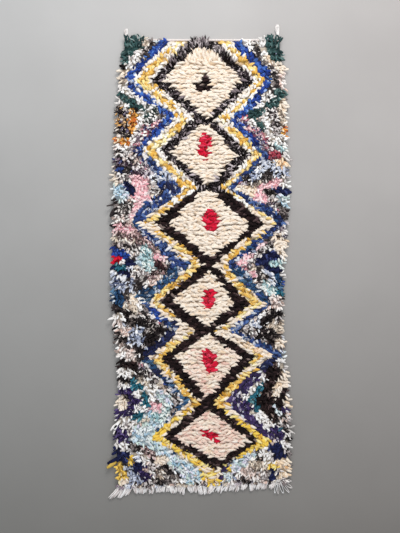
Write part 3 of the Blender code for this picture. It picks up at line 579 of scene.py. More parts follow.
# %% Where gold lies in its band
Part = namedtuple("Part", "along left_from left_to left_gold right_from right_to right_gold tinge")
GOLD_PARTS = (
    Part(113, 1, 5, 0.4, 1.4, 6.7, 0.4, 0.6),
    Part(105, 3.5, 7, 0.65, 3, 6.7, 0.75, 0.3),
    Part(100, 3.2, 8.2, 0.92, 2.6, 6.7, 0.92, 0.1),
    Part(95, 3.2, 7.5, 0.92, 1.2, 6.3, 0.9, 0.1),
    Part(91.5, 1.5, 6.6, 0.97, 3, 5, 0.5, 0.2),
    Part(88, 3, 8, 0.9, 4.0, 7, 0.85, 0.3),
    Part(85, 4, 8.6, 0.85, 3.8, 6.7, 0.55, 0.4),
    Part(80, 4, 8.2, 0.8, 4.5, 6.9, 0.45, 0.4),
    Part(77.5, 3.8, 7.5, 0.75, 4.9, 7.4, 0.9, 0.3),
    Part(75, 3.5, 6, 0.7, 1, 6.5, 0.3, 0.4),
    Part(70, 0.7, 4.7, 0.85, 2.2, 6.7, 0.6, 0.4),
    Part(65, 0.5, 5.5, 0.35, 1, 6.5, 0.3, 0.6),
    Part(60.5, 0.7, 7, 0.7, 1, 6.5, 0.3, 0.7),
    Part(57, 2.5, 6.8, 0.92, 1, 5.3, 0.5, 0.4),
    Part(52, 2.6, 6.4, 0.92, 2.4, 6.7, 0.85, 0.2),
    Part(47, 2.6, 6.6, 0.9, 2.8, 6.2, 0.85, 0.2),
    Part(43, 2, 6.4, 0.6, 2, 4.5, 0.4, 0.2),
    Part(40, 0.7, 5.7, 0.7, 0, 2.4, 0.6, 0.2),
    Part(37, 2.5, 5.7, 0.7, 0, 3.2, 0.7, 0.1),
    Part(33, 3, 4, 0.2, 2.5, 4, 0.3, 0.1),
    Part(30, 1.4, 4.6, 0.85, 2.4, 5.2, 0.6, 0.2),
    Part(27, 0.7, 4.6, 0.85, 1, 5.2, 0.45, 0.3),
    Part(24, 0.2, 3, 0.7, 3, 5, 0.3, 0.3),
    Part(21, 0.4, 4.6, 0.75, 4, 7, 0.7, 0.4),
    Part(19.5, 0.6, 4, 0.6, 4.9, 8.8, 0.95, 0.2),
    Part(17, 0.5, 3, 0.5, 4, 6, 0.5, 0.2),
    Part(12, 0, 4, 0.9, 3, 5.2, 0.5, 0.3),
    Part(7, 0, 4, 0.92, 2.4, 6, 0.8, 0.2),
    Part(3, 0.5, 4.2, 0.5, 2.5, 5, 0.35, 0.2),
    Part(-1, 0.7, 5.5, 0.65, 4.4, 7, 0.8, 0.2),
    Part(-5, 0.4, 4.3, 0.9, 1, 5.6, 0.75, 0.4),
    Part(-10, 0.4, 5.6, 0.9, 0.8, 5.6, 0.7, 0.4),
    Part(-14, 0.2, 5, 0.95, 0, 5.2, 0.92, 0.3),
    Part(-18, 0.6, 5.6, 0.7, 0.3, 5.2, 0.6, 0.7),
    Part(-22, 1.4, 5.6, 0.4, 0.3, 4, 0.5, 0.6),
    Part(-27, 0.7, 4.5, 0.2, 0, 3, 0.2, 0.3),
    Part(-33, 0.5, 5, 0.05, 0.5, 5, 0.15, 0.2),
    Part(-38, 1, 5, 0.4, 3.8, 8, 0.5, 0.4),
    Part(-41, 1.2, 6.2, 0.75, 3, 8.8, 0.9, 0.4),
    Part(-45, 0.4, 5, 0.85, 0.3, 5.5, 0.75, 0.3),
    Part(-48, 0, 3.6, 0.85, 0, 5, 0.25, 0.4),
    Part(-53, 0.3, 4.3, 0.6, 1, 6.5, 0.4, 0.5),
    Part(-57, 0, 4.3, 0.88, 0.3, 5.3, 0.92, 0.2),
    Part(-63, 0.3, 4.4, 0.95, 0, 5.5, 0.92, 0.1),
    Part(-70, 0, 2.6, 0.9, 0, 3.2, 0.9, 0.2),
    Part(-75, 0.5, 3.5, 0.7, 0.3, 3, 0.45, 0.3),
    Part(-80, 1, 5.7, 0.9, 0, 3.2, 0.8, 0.2),
    Part(-85, 0.3, 5.7, 0.92, 0.7, 5, 0.7, 0.3),
    Part(-89, 0, 5, 0.85, 0.5, 8, 0.95, 0.2),
    Part(-95, 0.5, 5.5, 0.75, 0.4, 5, 0.5, 0.5),
    Part(-102, 1, 6.4, 0.85, 0, 4, 0.85, 0.2),
)
print(len(GOLD_PARTS), "heights at which the gold band changes")

# %% [markdown]
# The blue band is never one skein for long. This second table names the yarn at each side down to
# a height, the shares of pale knots among it, and how much of the band's inner edge is lined with
# pale wool.

# %% Yarns of the blue band
BandYarn = namedtuple("BandYarn", "down_to left right pale_left pale_right lining")
BLUE_YARNS = (
    BandYarn(92, "blue", "blue", 0.10, 0.10, 0.00),
    BandYarn(76, "blue", "blue", 0.24, 0.14, 0.16),
    BandYarn(58, "blue", "blue", 0.12, 0.22, 0.00),
    BandYarn(50, "denim", "denim", 0.18, 0.18, 0.10),
    BandYarn(42, "denim", "denim", 0.46, 0.36, 0.10),
    BandYarn(38, "denim", "denim", 0.24, 0.16, 0.06),
    BandYarn(21, "denim", "denim", 0.06, 0.12, 0.00),
    BandYarn(5, "denim", "denim", 0.22, 0.16, 0.00),
    BandYarn(-1, "denim", "denim", 0.24, 0.16, 0.00),
    BandYarn(-19, "marine", "marine", 0.22, 0.12, 0.00),
    BandYarn(-33, "denim", "denim", 0.24, 0.18, 0.00),
    BandYarn(-47, "navy", "denim", 0.14, 0.14, 0.00),
    BandYarn(-53, "marine", "navy", 0.16, 0.14, 0.00),
    BandYarn(-58, "marine", "violet", 0.18, 0.16, 0.00),
    BandYarn(-120, "marine", "violet", 0.34, 0.10, 0.00),
)
print(len(BLUE_YARNS), "stretches of the blue band")

# %% [markdown]
# The shares below say how the weaver's hand strays from the chart: how far a rag runs past its bar,
# how often a lone puff or knot of another rag comes in, and how strictly a clump keeps to one yarn.
# Heights are where one skein was used up and the next one taken.

# %% How knots take their yarn
PUFF_PULL = 0.55
RAG_OVERRUN = 0.35
FILLING = ("white", "fawn", "ash", "slate", "haze", "blush", "ash", "soot", "white", "mauve")
LONE_YARNS = ("white", "ash", "slate", "blush", "soot", "fawn", "haze")
LONE_PUFFS = 0.07
LONE_KNOTS = 0.02
LONE_DEPTH = 0.45
CLUMPED_KNOTS = 0.74
PALE_BY_PUFF = 0.4
GOLD_ELSEWHERE = 0.06
MILK_DOWN_TO = 30
LEMON_FROM = -72
FLEECE_DOWN_TO = 103
FLEECE_SHARE = 0.30
FLECK_DOWN_TO = 37
DARK_DOWN_TO = -101.5
SHELL_HEIGHTS = (-70, -30)
SHELL_SHARES = (0.85, 0.0)


def indices_of(names):
    """The indices of the named yarns."""
    return np.array([YARN_INDEX[name] for name in names])


def yarn_of_knots(x, y, rng):
    """The yarn index of each lock, for places in centimetres. Rags and the blue band's outer edge
    are read at a place pulled towards the middle of the puff, so that a puff keeps to one yarn."""
    index = YARN_INDEX
    clump = clumps(x, y)
    clumped = rng.random(len(x)) < CLUMPED_KNOTS
    chance = np.where(clumped, puff_number(clump, seed=78), rng.random(len(x)))
    puff = puffs(x, y)
    yarn = indices_of(FILLING)[(puff_number(puff, seed=69) * len(FILLING)).astype(int)]
    deepest = np.full(len(x), -RAG_OVERRUN)
    puff_x = x - PUFF_PULL * puff.away * np.cos(puff.outward) * PUFF_WIDTH
    puff_y = y - PUFF_PULL * puff.away * np.sin(puff.outward) * PUFF_HEIGHT
    for bar in LEFT_RAGS + RIGHT_RAGS:
        depth = inside_bar(bar, puff_x, puff_y)
        better = depth > deepest
        yarn[better] = index[bar.yarn]
        deepest[better] = depth[better]

    lone = (puff_number(puff, seed=71) < LONE_PUFFS) | (rng.random(len(x)) < LONE_KNOTS)
    lone &= deepest < LONE_DEPTH
    which = (puff_number(puff, seed=73) * len(LONE_YARNS)).astype(int)
    yarn[lone] = indices_of(LONE_YARNS)[which[lone]]

    gold_left, gold_right = zigzag(GOLD_LEFT, y), zigzag(GOLD_RIGHT, y)
    blue_left, blue_right = zigzag(BLUE_LEFT, y), zigzag(BLUE_RIGHT, y)
    in_blue = (puff_x > blue_left) & (puff_x < blue_right)
    from_gold = np.where(x < gold_left, gold_left - x, x - gold_right)
    blue_width = np.where(x < gold_left, gold_left - blue_left, blue_right - gold_right)
    lining = np.zeros(len(x))
    pale = np.zeros(len(x))
    for band in BLUE_YARNS[::-1]:
        reached = y > band.down_to
        left = reached & (x < 0)
        right = reached & (x > 0)
        yarn[in_blue & left] = index[band.left]
        yarn[in_blue & right] = index[band.right]
        lining[reached] = band.lining
        pale[left] = band.pale_left
        pale[right] = band.pale_right
    yarn[in_blue & (from_gold < lining * blue_width)] = index["milk"]
    pale_chance = PALE_BY_PUFF * puff_number(puff, seed=75) + (1 - PALE_BY_PUFF) * chance
    yarn[in_blue & (pale_chance < pale)] = index["haze"]

    dark_left, dark_right = zigzag(DARK_LEFT, y), zigzag(DARK_RIGHT, y)
    in_gold = (x > gold_left) & (x < gold_right)
    outward = np.where(x < dark_left, dark_left - x, x - dark_right)
    part_from = read_both_sides(GOLD_PARTS, "left_from", "right_from", x, y)
    part_to = read_both_sides(GOLD_PARTS, "left_to", "right_to", x, y)
    part_gold = read_both_sides(GOLD_PARTS, "left_gold", "right_gold", x, y)
    golden = (outward > part_from) & (outward < part_to)
    is_gold = in_gold & (chance < np.where(golden, part_gold, GOLD_ELSEWHERE))
    tinge_chance = np.where(clumped, puff_number(clump, seed=80), rng.random(len(x)))
    tinged = tinge_chance < read_along(GOLD_PARTS, "tinge", y)
    yarn[in_gold] = np.where(y > MILK_DOWN_TO, index["milk"], index["cream"])[in_gold]
    yarn[in_gold & golden & tinged] = index["primrose"]
    yarn[is_gold] = index["gold"]
    yarn[is_gold & (y < LEMON_FROM)] = index["lemon"]

    in_bands = in_blue | in_gold
    for bar in BAND_BREAKS:
        yarn[in_bands & (inside_bar(bar, x, y) > 0)] = index[bar.yarn]

    in_dark = (x > dark_left) & (x < dark_right) & (y > DARK_DOWN_TO)
    yarn[in_dark] = index["ink"]
    yarn[in_dark & (y > FLECK_DOWN_TO)] = index["fleck"]
    yarn[in_dark & (y > FLEECE_DOWN_TO) & (chance < FLEECE_SHARE)] = index["fleece"]
    for diamond in DIAMONDS:
        inside = inside_diamond(diamond, x, y)
        yarn[inside] = index["cream"]
        yarn[inside & (chance < np.interp(y, SHELL_HEIGHTS, SHELL_SHARES))] = index["shell"]
    for bar in FIGURES:
        yarn[inside_bar(bar, x, y) > 0] = index[bar.yarn]
    return yarn


print(len(FILLING), "draws of rag where no bar reaches")

# %% [markdown]
# ## The knots
#
# The knots stand in rows, evenly enough to count and unevenly enough to look hand-made. A knot of
# wool gives two locks, which lie down sideways along the row, one to the left and one to the
# right, and lean a little towards the bottom end. Every other lock lies on top of its neighbours,
# so a row looks like a loose rope. A knot of fleece or torn rag gives three ends.

# %% Places of the knots
rng = np.random.default_rng(11)
MOST_LOCKS = 3
LEFT_INSET = 0.017
RIGHT_INSET = 0.012
ROW_WANDER = 0.0022
KNOT_WANDER = 0.0026
END_STEP = 0.36
OVER_SHIFT = -0.0040
UNDER_SHIFT = 0.0050

row_number, knot_number, end_number = (
    grid.ravel()
    for grid in np.meshgrid(
        np.arange(ROW_COUNT), np.arange(KNOTS_PER_ROW), np.arange(MOST_LOCKS), indexing="ij"
    )
)
across_share = (knot_number + 0.5 + END_STEP * (end_number % 2 - 0.5)) / KNOTS_PER_ROW
down_share = (row_number + 0.45) / ROW_COUNT
level = TOP_END + (BOTTOM_END_MIDDLE - TOP_END) * down_share
left_edge = read_along(SELVEDGES, "left", level) + LEFT_INSET
right_edge = read_along(SELVEDGES, "right", level) - RIGHT_INSET
lock_x = left_edge + (right_edge - left_edge) * across_share
lock_x = lock_x + rng.normal(0, KNOT_WANDER, len(lock_x))
lock_y = TOP_END + (bottom_end(lock_x) - TOP_END) * down_share
lock_y = lock_y + ROW_WANDER * ripple(lock_x, lock_y * 2, size=0.11, seed=3)
over = (knot_number + end_number) % 2
lock_y = lock_y + np.where(over == 1, OVER_SHIFT, UNDER_SHIFT)
print(len(lock_x), "places for locks in", ROW_COUNT, "rows")

# %% [markdown]
# ## The cut of each lock
#
# How a lock looks depends on what it was cut from. Undyed wool is long and lies in smooth ropes.
# Gold and blue wool was knotted short, in fat tufts. Dark fleece splits into thin wisps, and torn
# rags are stiff flat strips. Each such cut is a row of ranges, and every lock draws its own numbers
# from them: how long, wide and thick it is, how far it splays sideways and swerves, how upright it
# rises and how low it droops, and how much it curls and rolls. At the top end the pile was combed up
# into a fine fan, where wool lies in other cuts.

# %% The cuts, with ranges in metres and radians
Cut = namedtuple("Cut", "ends length width thickness splay swerve rise droop curl roll")
CUTS = {
    "rope": Cut(2, (0.042, 0.054), (0.0140, 0.0172), (0.0080, 0.0098), (1.10, 1.52), 0.10,
                (0.30, 0.55), (1.68, 1.86), 0.18, 0.12),
    "combed": Cut(3, (0.032, 0.044), (0.0135, 0.0175), (0.0055, 0.0075), (0.15, 0.80), 0.20,
                  (1.05, 1.30), (1.48, 1.58), 0.15, 0.10),
    "coil": Cut(2, (0.034, 0.044), (0.0125, 0.0160), (0.0078, 0.0098), (0.85, 1.50), 0.20,
                (0.10, 0.70), (1.60, 1.88), 0.30, 0.20),
    "tuft": Cut(2, (0.028, 0.036), (0.0150, 0.0195), (0.0090, 0.0115), (0.15, 0.75), 0.25,
                (0.10, 0.60), (1.55, 1.90), 0.30, 0.25),
    "wisp": Cut(3, (0.026, 0.038), (0.0078, 0.0110), (0.0062, 0.0085), (0.15, 1.50), 0.40,
                (0.05, 0.65), (1.45, 1.90), 0.45, 0.50),
    "skein": Cut(3, (0.030, 0.040), (0.0105, 0.0140), (0.0075, 0.0095), (0.95, 1.45), 0.22,
                 (0.20, 0.70), (1.55, 1.85), 0.30, 0.20),
    "rag": Cut(3, (0.022, 0.032), (0.0085, 0.0125), (0.0060, 0.0090), (0.15, 0.95), 0.40,
               (0.05, 0.55), (1.15, 1.75), 0.60, 0.50),
}
CUT_INDEX = {name: number for number, name in enumerate(CUTS)}
CUT_OF_YARN = {
    "cream": "rope", "shell": "rope", "ink": "coil", "crimson": "tuft", "fleck": "wisp",
    "fleece": "wisp",
}
CUT_OF_RAG = {"pink": "skein", "cream": "skein", "peach": "skein", "blue": "tuft", "navy": "tuft"}
print(len(CUTS), "cuts")

# %% The cut of each lock
WOOL_MARGIN = 0.4
WOOL_DOWN_TO = -108
COMBED_UP_FROM = 0.985
COMBED_UP_WITHIN = 0.05
CREST_MIDDLE = -0.010
CREST_HALF_WIDTH = 0.040

zone_left = zigzag(BLUE_LEFT, lock_y / CM) - WOOL_MARGIN
zone_right = zigzag(BLUE_RIGHT, lock_y / CM) + WOOL_MARGIN
wool = (lock_x / CM > zone_left) & (lock_x / CM < zone_right) & (lock_y / CM > WOOL_DOWN_TO)
knot_yarn = yarn_of_knots(lock_x / CM, lock_y / CM, rng)
cut_of = np.where(wool, CUT_INDEX["tuft"], CUT_INDEX["rag"])
for zone, cuts in ((wool, CUT_OF_YARN), (~wool, CUT_OF_RAG)):
    for name, cut_name in cuts.items():
        cut_of[zone & (knot_yarn == YARN_INDEX[name])] = CUT_INDEX[cut_name]
combed_share = np.clip((lock_y - COMBED_UP_FROM) / COMBED_UP_WITHIN, 0, 1)
combed_up = wool & (rng.random(len(lock_x)) < combed_share)
combed_up &= (row_number > 1) | (np.abs(lock_x - CREST_MIDDLE) < CREST_HALF_WIDTH)
cut_of[combed_up & (cut_of == CUT_INDEX["rope"])] = CUT_INDEX["combed"]
knot_chance = rng.random((ROW_COUNT, KNOTS_PER_ROW))[row_number, knot_number]

kept = end_number < np.array([cut.ends for cut in CUTS.values()])[cut_of]
row_number, end_number, over, wool, cut_of, combed_up = (
    values[kept] for values in (row_number, end_number, over, wool, cut_of, combed_up)
)
lock_x, lock_y, left_edge, right_edge, knot_chance = (
    values[kept] for values in (lock_x, lock_y, left_edge, right_edge, knot_chance)
)
lock_count = len(lock_x)
print(lock_count, "locks, of which", int(wool.sum()), "are of wool")


# %% Draws from the cuts' ranges
def between(column):
    """For each lock an even random number within its cut's range."""
    low, high = np.array([getattr(cut, column) for cut in CUTS.values()]).T
    return rng.uniform(low[cut_of], high[cut_of])


def jitter(column):
    """For each lock a random number that is mostly within its cut's size of zero."""
    size = np.array([getattr(cut, column) for cut in CUTS.values()])
    return rng.normal(0, size[cut_of])


def along_zigzag(x, y, step=1.5):
    """The angle of the way down along the nearer gold zigzag, at places in centimetres."""
    left_run = zigzag(GOLD_LEFT, y - step) - zigzag(GOLD_LEFT, y + step)
    right_run = zigzag(GOLD_RIGHT, y - step) - zigzag(GOLD_RIGHT, y + step)
    return np.arctan2(-2.0 * step, np.where(x < MIDDLE, left_run, right_run))


first_slope = math.degrees(along_zigzag(-30.0, 100.0))
print("the left band starts down at", round(first_slope, 1), "degrees")

# %% [markdown]
# Which way a lock falls decides how the pile looks. Wool in the diamonds falls sideways along its
# row. Tufts and rags fall down along the zigzag that they belong to, and also spread from the middle
# of their clump or puff, lower at its edge, so that puffs part from each other.

# %% The way each lock falls
BAND_SHARE = 0.75
ROW_FAN = 0.10
ROW_FAN_WIDTH = 0.45
PUFF_TURN = 1.5
RAG_SPREAD = 1.3
TUFT_SPREAD = 0.9
FAN_OPENING = 1.6
FAN_MIDDLE = 0.015
FAN_SPLAY = 0.60

puff = puffs(lock_x / CM, lock_y / CM)
clump = clumps(lock_x / CM, lock_y / CM)
is_rag = cut_of == CUT_INDEX["rag"]
is_tuft = cut_of == CUT_INDEX["tuft"]
side = np.array([-1.0, 1.0, 0.0])[end_number]
down_row = -math.pi / 2 + ROW_FAN * lock_x / ROW_FAN_WIDTH
down_band = along_zigzag(lock_x / CM, lock_y / CM)
down_band = BAND_SHARE * down_band - (1 - BAND_SHARE) * math.pi / 2
way = np.where(is_rag | is_tuft, down_band, down_row)
way = way + np.where(is_rag, PUFF_TURN * (puff_number(puff, seed=81) - 0.5), 0.0)
fall = way + side * between("splay") + jitter("swerve")
spread = np.where(is_tuft, TUFT_SPREAD * clump.away, 0.0)
spread = np.where(is_rag, RAG_SPREAD * puff.away, spread)
outward = np.where(is_rag, puff.outward, clump.outward)
fall = np.arctan2(
    np.sin(fall) + spread * np.sin(outward), np.cos(fall) + spread * np.cos(outward)
)
fan_splay = side * rng.uniform(0.0, FAN_SPLAY, lock_count)
fan = math.pi / 2 - FAN_OPENING * (lock_x - FAN_MIDDLE) + fan_splay
fall = np.where(combed_up, fan, fall)
print(int(combed_up.sum()), "locks combed up")

# %% The size and stance of each lock
LENGTH_RIPPLE = 0.08
COMBED_TUFT_LENGTH = 0.85
LAST_ROW_LENGTH = 0.68
LAST_ROW_HALF_WIDTH = 0.40
OVER_RISE = 0.55
PUFF_DROOP = 0.55
PUFF_DROOP_FROM = 0.35
PUFF_DOME = 0.009
ROOT_LEVEL = 0.0035

length = between("length") * (1 + LENGTH_RIPPLE * ripple(lock_x, lock_y, size=0.12, seed=8))
length = np.where(combed_up & is_tuft, COMBED_TUFT_LENGTH * length, length)
last_row = (row_number == ROW_COUNT - 1) & (np.abs(lock_x) < LAST_ROW_HALF_WIDTH)
length = np.where(last_row, LAST_ROW_LENGTH * length, length)
width = between("width")
thickness = between("thickness")
rise = between("rise")
smooth = np.isin(cut_of, [CUT_INDEX[name] for name in ("rope", "coil", "skein")])
rise = np.where(smooth & (over == 1), rise * OVER_RISE, rise)
droop = between("droop") + np.where(is_rag, PUFF_DROOP * (puff.away - PUFF_DROOP_FROM), 0.0)
root_level = ROOT_LEVEL + np.where(is_rag, PUFF_DOME * puff_dome(puff), 0.0)
curl = jitter("curl")
roll = jitter("roll")
print("locks from", round(length.min() * 1000), "to", round(length.max() * 1000), "mm long")

# %% [markdown]
# The rim needs its own fall. Locks near an edge of the ground turn outwards, and those that leave
# the ground droop all the way to the floor. A few tufts reach well past their neighbours, and the
# top corners' green tufts stand up past the heading.

# %% Locks at the rim
RIM_REACH = 0.026
RIM_LEAN = 0.25
RIM_UNEVEN = 0.40
RIM_DROOP = 1.75
STRAY_HALF_WIDTH = 0.017
STRAY_RISE = 0.60
STRAY_PULL = 0.3
STRAY_REACH = (0.80, 1.05)
DROOP_PULL = 0.4
CORNER_FROM = 0.29
CREST_FROM = 0.17
CREST_SHARE = 0.35
UPWARD_UNEVEN = 0.55
CREST_LENGTH = 0.72
CORNER_LENGTH = 1.45
Stray = namedtuple("Stray", "side along reach")
STRAYS = (
    Stray(side=-1, along=0.445, reach=0.044),
    Stray(side=-1, along=0.290, reach=0.058),
    Stray(side=-1, along=-0.265, reach=0.050),
    Stray(side=-1, along=-0.790, reach=0.070),
    Stray(side=-1, along=-0.975, reach=0.066),
    Stray(side=1, along=0.545, reach=0.044),
    Stray(side=1, along=-0.815, reach=0.052),
)

rim = np.zeros(lock_count)
for edge_side, away in ((-1, lock_x - left_edge), (1, right_edge - lock_x)):
    pull = np.clip(1 - away / RIM_REACH, 0, 1)
    over_edge = -math.pi / 2 + edge_side * (math.pi / 2 - RIM_LEAN)
    over_edge = over_edge + rng.normal(0, RIM_UNEVEN, lock_count)
    fall = np.where(pull > 0, fall * (1 - pull) + over_edge * pull, fall)
    rim = np.maximum(rim, pull)
    for stray in STRAYS:
        near = (stray.side == edge_side) & (np.abs(lock_y - stray.along) < STRAY_HALF_WIDTH)
        near &= pull > STRAY_PULL
        length = np.where(near, stray.reach * rng.uniform(*STRAY_REACH, lock_count), length)
        rise = np.where(near, STRAY_RISE, rise)
droop = np.where(rim > DROOP_PULL, np.maximum(droop, RIM_DROOP), droop)

top_row = row_number == 0
corner = (row_number < 2) & (np.abs(lock_x) > CORNER_FROM)
crest = top_row & ~corner & (np.abs(lock_x) > CREST_FROM)
crest &= rng.random(lock_count) < CREST_SHARE
upward = math.pi / 2 + rng.normal(0, UPWARD_UNEVEN, lock_count)
fall = np.where(corner | crest, upward, fall)
length = np.where(crest, length * CREST_LENGTH, length)
length = np.where(corner & top_row, length * CORNER_LENGTH, length)
print(int((rim > 0).sum()), "locks at the rim")

# %% [markdown]
# The chart was read once at the knots to choose the cuts. It is read again at each lock's middle,
# where its colour is seen, so that the pattern's edges stay where the chart has them although the
# locks fall away from their knots.

# %% The yarn of each lock
SEEN_SHARE = 0.50
LEVEL_SHARE = 0.85
seen_x = lock_x + SEEN_SHARE * length * np.cos(fall) * LEVEL_SHARE
seen_y = lock_y + SEEN_SHARE * length * np.sin(fall) * LEVEL_SHARE
lock_yarn = yarn_of_knots(seen_x / CM, seen_y / CM, rng)


def is_yarn(*names):
    """A mask of the locks that are of the named yarns."""
    return np.isin(lock_yarn, indices_of(names))


print(int(is_yarn("cream", "shell").sum()), "cream locks")

# %% [markdown]
# ## Bending every lock at once
#
# One lock is a tube of flat ellipses along a bent line. It could be a curve object with a bevel,
# but thousands of curve objects are slow to make and heavy to keep. Here the two parameters of the
# surface are the ring along the lock and the corner around it, and numpy works out all locks in
# one array of the shape (lock, ring, corner).

# %% Bent tubes from arrays
CORNERS = 6
FLOOR_CLEARANCE = 0.0008
FOOT_DEPTH = 0.001
TIP_REACH = 0.45
CURL_PIVOT = 0.3
WOOL_WIDTHS = np.array([0.62, 0.95, 1.00, 0.84, 0.40])
WOOL_THICKNESSES = np.array([0.85, 1.00, 1.00, 0.80, 0.45])
RAG_WIDTHS = np.array([0.70, 0.95, 1.00, 0.78])
RAG_THICKNESSES = np.array([0.80, 1.00, 0.95, 0.70])


def bend_locks(picked, widths, thicknesses):
    """Points of the picked locks ring by ring, and their foot and tip points.

    Each of a lock's straight stretches leans from upright by an angle that grows evenly from rise
    to droop, and heads along fall, turned by curl towards the tip. A ring's centre is the sum of
    the stretches before it. Around it a corner lies at the centre, plus half the width times the
    cosine of its angle sideways, plus half the thickness times its sine across the line.
    """
    rings = len(widths)
    middle = (np.arange(rings - 1) + 0.5) / (rings - 1)
    lean = rise[picked, None] + (droop - rise)[picked, None] * middle
    heading = fall[picked, None] + curl[picked, None] * (middle - CURL_PIVOT)
    stretch = np.stack(
        (np.sin(lean) * np.cos(heading), np.sin(lean) * np.sin(heading), np.cos(lean)), axis=-1
    )
    run = stretch * length[picked, None, None] / (rings - 1)
    root = np.stack((lock_x[picked], lock_y[picked], root_level[picked]), axis=-1)
    centre = np.concatenate((0 * root[:, None], np.cumsum(run, axis=1)), axis=1) + root[:, None]

    ahead = np.concatenate((stretch, stretch[:, -1:]), axis=1)
    behind = np.concatenate((stretch[:, :1], stretch), axis=1)
    tangent = ahead + behind
    tangent /= np.linalg.norm(tangent, axis=-1, keepdims=True)
    turn = np.concatenate((heading[:, :1], heading), axis=1)
    sideways = np.stack((-np.sin(turn), np.cos(turn), np.zeros_like(turn)), axis=-1)
    upward = np.cross(tangent, sideways)

    angle = np.arange(CORNERS) * math.tau / CORNERS
    wide = 0.5 * width[picked, None, None] * widths[:, None] * np.cos(angle)
    thick = 0.5 * thickness[picked, None, None] * thicknesses[:, None] * np.sin(angle)
    cosine, sine = np.cos(roll[picked])[:, None, None], np.sin(roll[picked])[:, None, None]
    points = centre[:, :, None] + (wide * cosine - thick * sine)[..., None] * sideways[:, :, None]
    points = points + (wide * sine + thick * cosine)[..., None] * upward[:, :, None]
    foot = centre[:, 0] - tangent[:, 0] * FOOT_DEPTH
    tip = centre[:, -1] + tangent[:, -1] * thickness[picked, None] * TIP_REACH
    return points, foot, tip


print("a lock has", len(WOOL_WIDTHS), "rings of", CORNERS, "corners if of wool,",
      len(RAG_WIDTHS), "if of rag")

# %% Faces and unwrap of many tubes
CAP_HEIGHT = 0.08
CELL_MARGIN = 0.06


def tube_faces(count, rings, corners):
    """Faces of many tubes whose points lie tube by tube: quads between rings, fans at both ends."""
    per_tube = rings * corners + 2
    ring, corner = np.meshgrid(np.arange(rings - 1), np.arange(corners), indexing="ij")
    here = ring * corners + corner
    beside = ring * corners + (corner + 1) % corners
    quads = np.stack((here, beside, beside + corners, here + corners), axis=-1).reshape(-1, 4)
    around = np.arange(corners)
    beside = (around + 1) % corners
    last = (rings - 1) * corners
    foot_fan = np.stack((beside, around, np.full(corners, rings * corners)), axis=-1)
    tip_fan = np.stack((last + around, last + beside, np.full(corners, rings * corners + 1)), axis=-1)
    fans = np.concatenate((foot_fan, tip_fan))
    shift = (np.arange(count) * per_tube)[:, None, None]
    return (quads[None] + shift).reshape(-1, 4), (fans[None] + shift).reshape(-1, 3)


def tube_unwrap(count, rings, corners):
    """Where each face corner of many tubes lies on a flat image: every tube is slit along its
    length and unrolled into its own small rectangle, and the rectangles stand in a square grid."""
    across = math.ceil(math.sqrt(count))
    ring, corner = np.meshgrid(np.arange(rings - 1), np.arange(corners), indexing="ij")
    u = np.stack((corner, corner + 1, corner + 1, corner), axis=-1) / corners
    v = np.stack((ring, ring, ring + 1, ring + 1), axis=-1) / (rings - 1)
    v = v * (1 - 2 * CAP_HEIGHT) + CAP_HEIGHT
    quads = np.stack((u, v), axis=-1).reshape(-1, 2)
    around = np.arange(corners)
    low = np.zeros(corners)
    foot_u = np.stack((around + 1, around, around + 0.5), axis=-1) / corners
    foot_v = np.stack((low + CAP_HEIGHT, low + CAP_HEIGHT, low), axis=-1)
    tip_u = np.stack((around, around + 1, around + 0.5), axis=-1) / corners
    tip_v = 1 - foot_v
    foot = np.stack((foot_u, foot_v), axis=-1).reshape(-1, 2)
    tip = np.stack((tip_u, tip_v), axis=-1).reshape(-1, 2)
    cell = np.stack((np.arange(count) % across, np.arange(count) // across), axis=-1)[:, None, :]
    placed = [
        (cell + CELL_MARGIN + (1 - 2 * CELL_MARGIN) * part[None]) / across
        for part in (quads, np.concatenate((foot, tip)))
    ]
    return np.concatenate([part.reshape(-1, 2) for part in placed])


print("faces of one wool lock:", sum(len(part) for part in tube_faces(1, 5, CORNERS)))

# %% A mesh object from arrays
def mesh_from_arrays(name, points, quads, triangles, unwrap=None, attributes=None):
    """One mesh object, filled array by array. Attributes are numbers or colours of its points."""
    mesh = bpy.data.meshes.new(name)
    corners = np.concatenate((quads.ravel(), triangles.ravel())).astype(np.int32)
    sizes = np.concatenate((np.full(len(quads), 4), np.full(len(triangles), 3)))
    starts = np.concatenate(([0], np.cumsum(sizes)[:-1])).astype(np.int32)
    mesh.vertices.add(len(points))
    mesh.vertices.foreach_set("co", points.astype(np.float32).ravel())
    mesh.loops.add(len(corners))
    mesh.loops.foreach_set("vertex_index", corners)
    mesh.polygons.add(len(sizes))
    mesh.polygons.foreach_set("loop_start", starts)
    mesh.polygons.foreach_set("use_smooth", np.ones(len(sizes), dtype=bool))
    mesh.update(calc_edges=True)
    if unwrap is not None:
        for map_name in ("lock_map", "OFBake"):
            layer = mesh.uv_layers.new(name=map_name)
            layer.uv.foreach_set("vector", unwrap.astype(np.float32).ravel())
    for attribute_name, values in (attributes or {}).items():
        if values.ndim == 2:
            layer = mesh.attributes.new(attribute_name, "FLOAT_COLOR", "POINT")
            opaque = np.concatenate((values, np.ones((len(values), 1))), axis=1)
            layer.data.foreach_set("color", opaque.astype(np.float32).ravel())
        else:
            layer = mesh.attributes.new(attribute_name, "FLOAT", "POINT")
            layer.data.foreach_set("value", values.astype(np.float32))
    piece = bpy.data.objects.new(name, mesh)
    bpy.context.scene.collection.objects.link(piece)
    print(name, len(quads) * 2 + len(triangles), "triangles")
    return piece


# %% [markdown]
# ## Bands of locks
#
# All locks could be one mesh, but a piece this heavy is awkward to select, shade and export. The
# pile is cut into the groups that a weaver would name: cream wool, dark outline, gold band, the
# other wools, and the rags of each side in upper and lower halves.

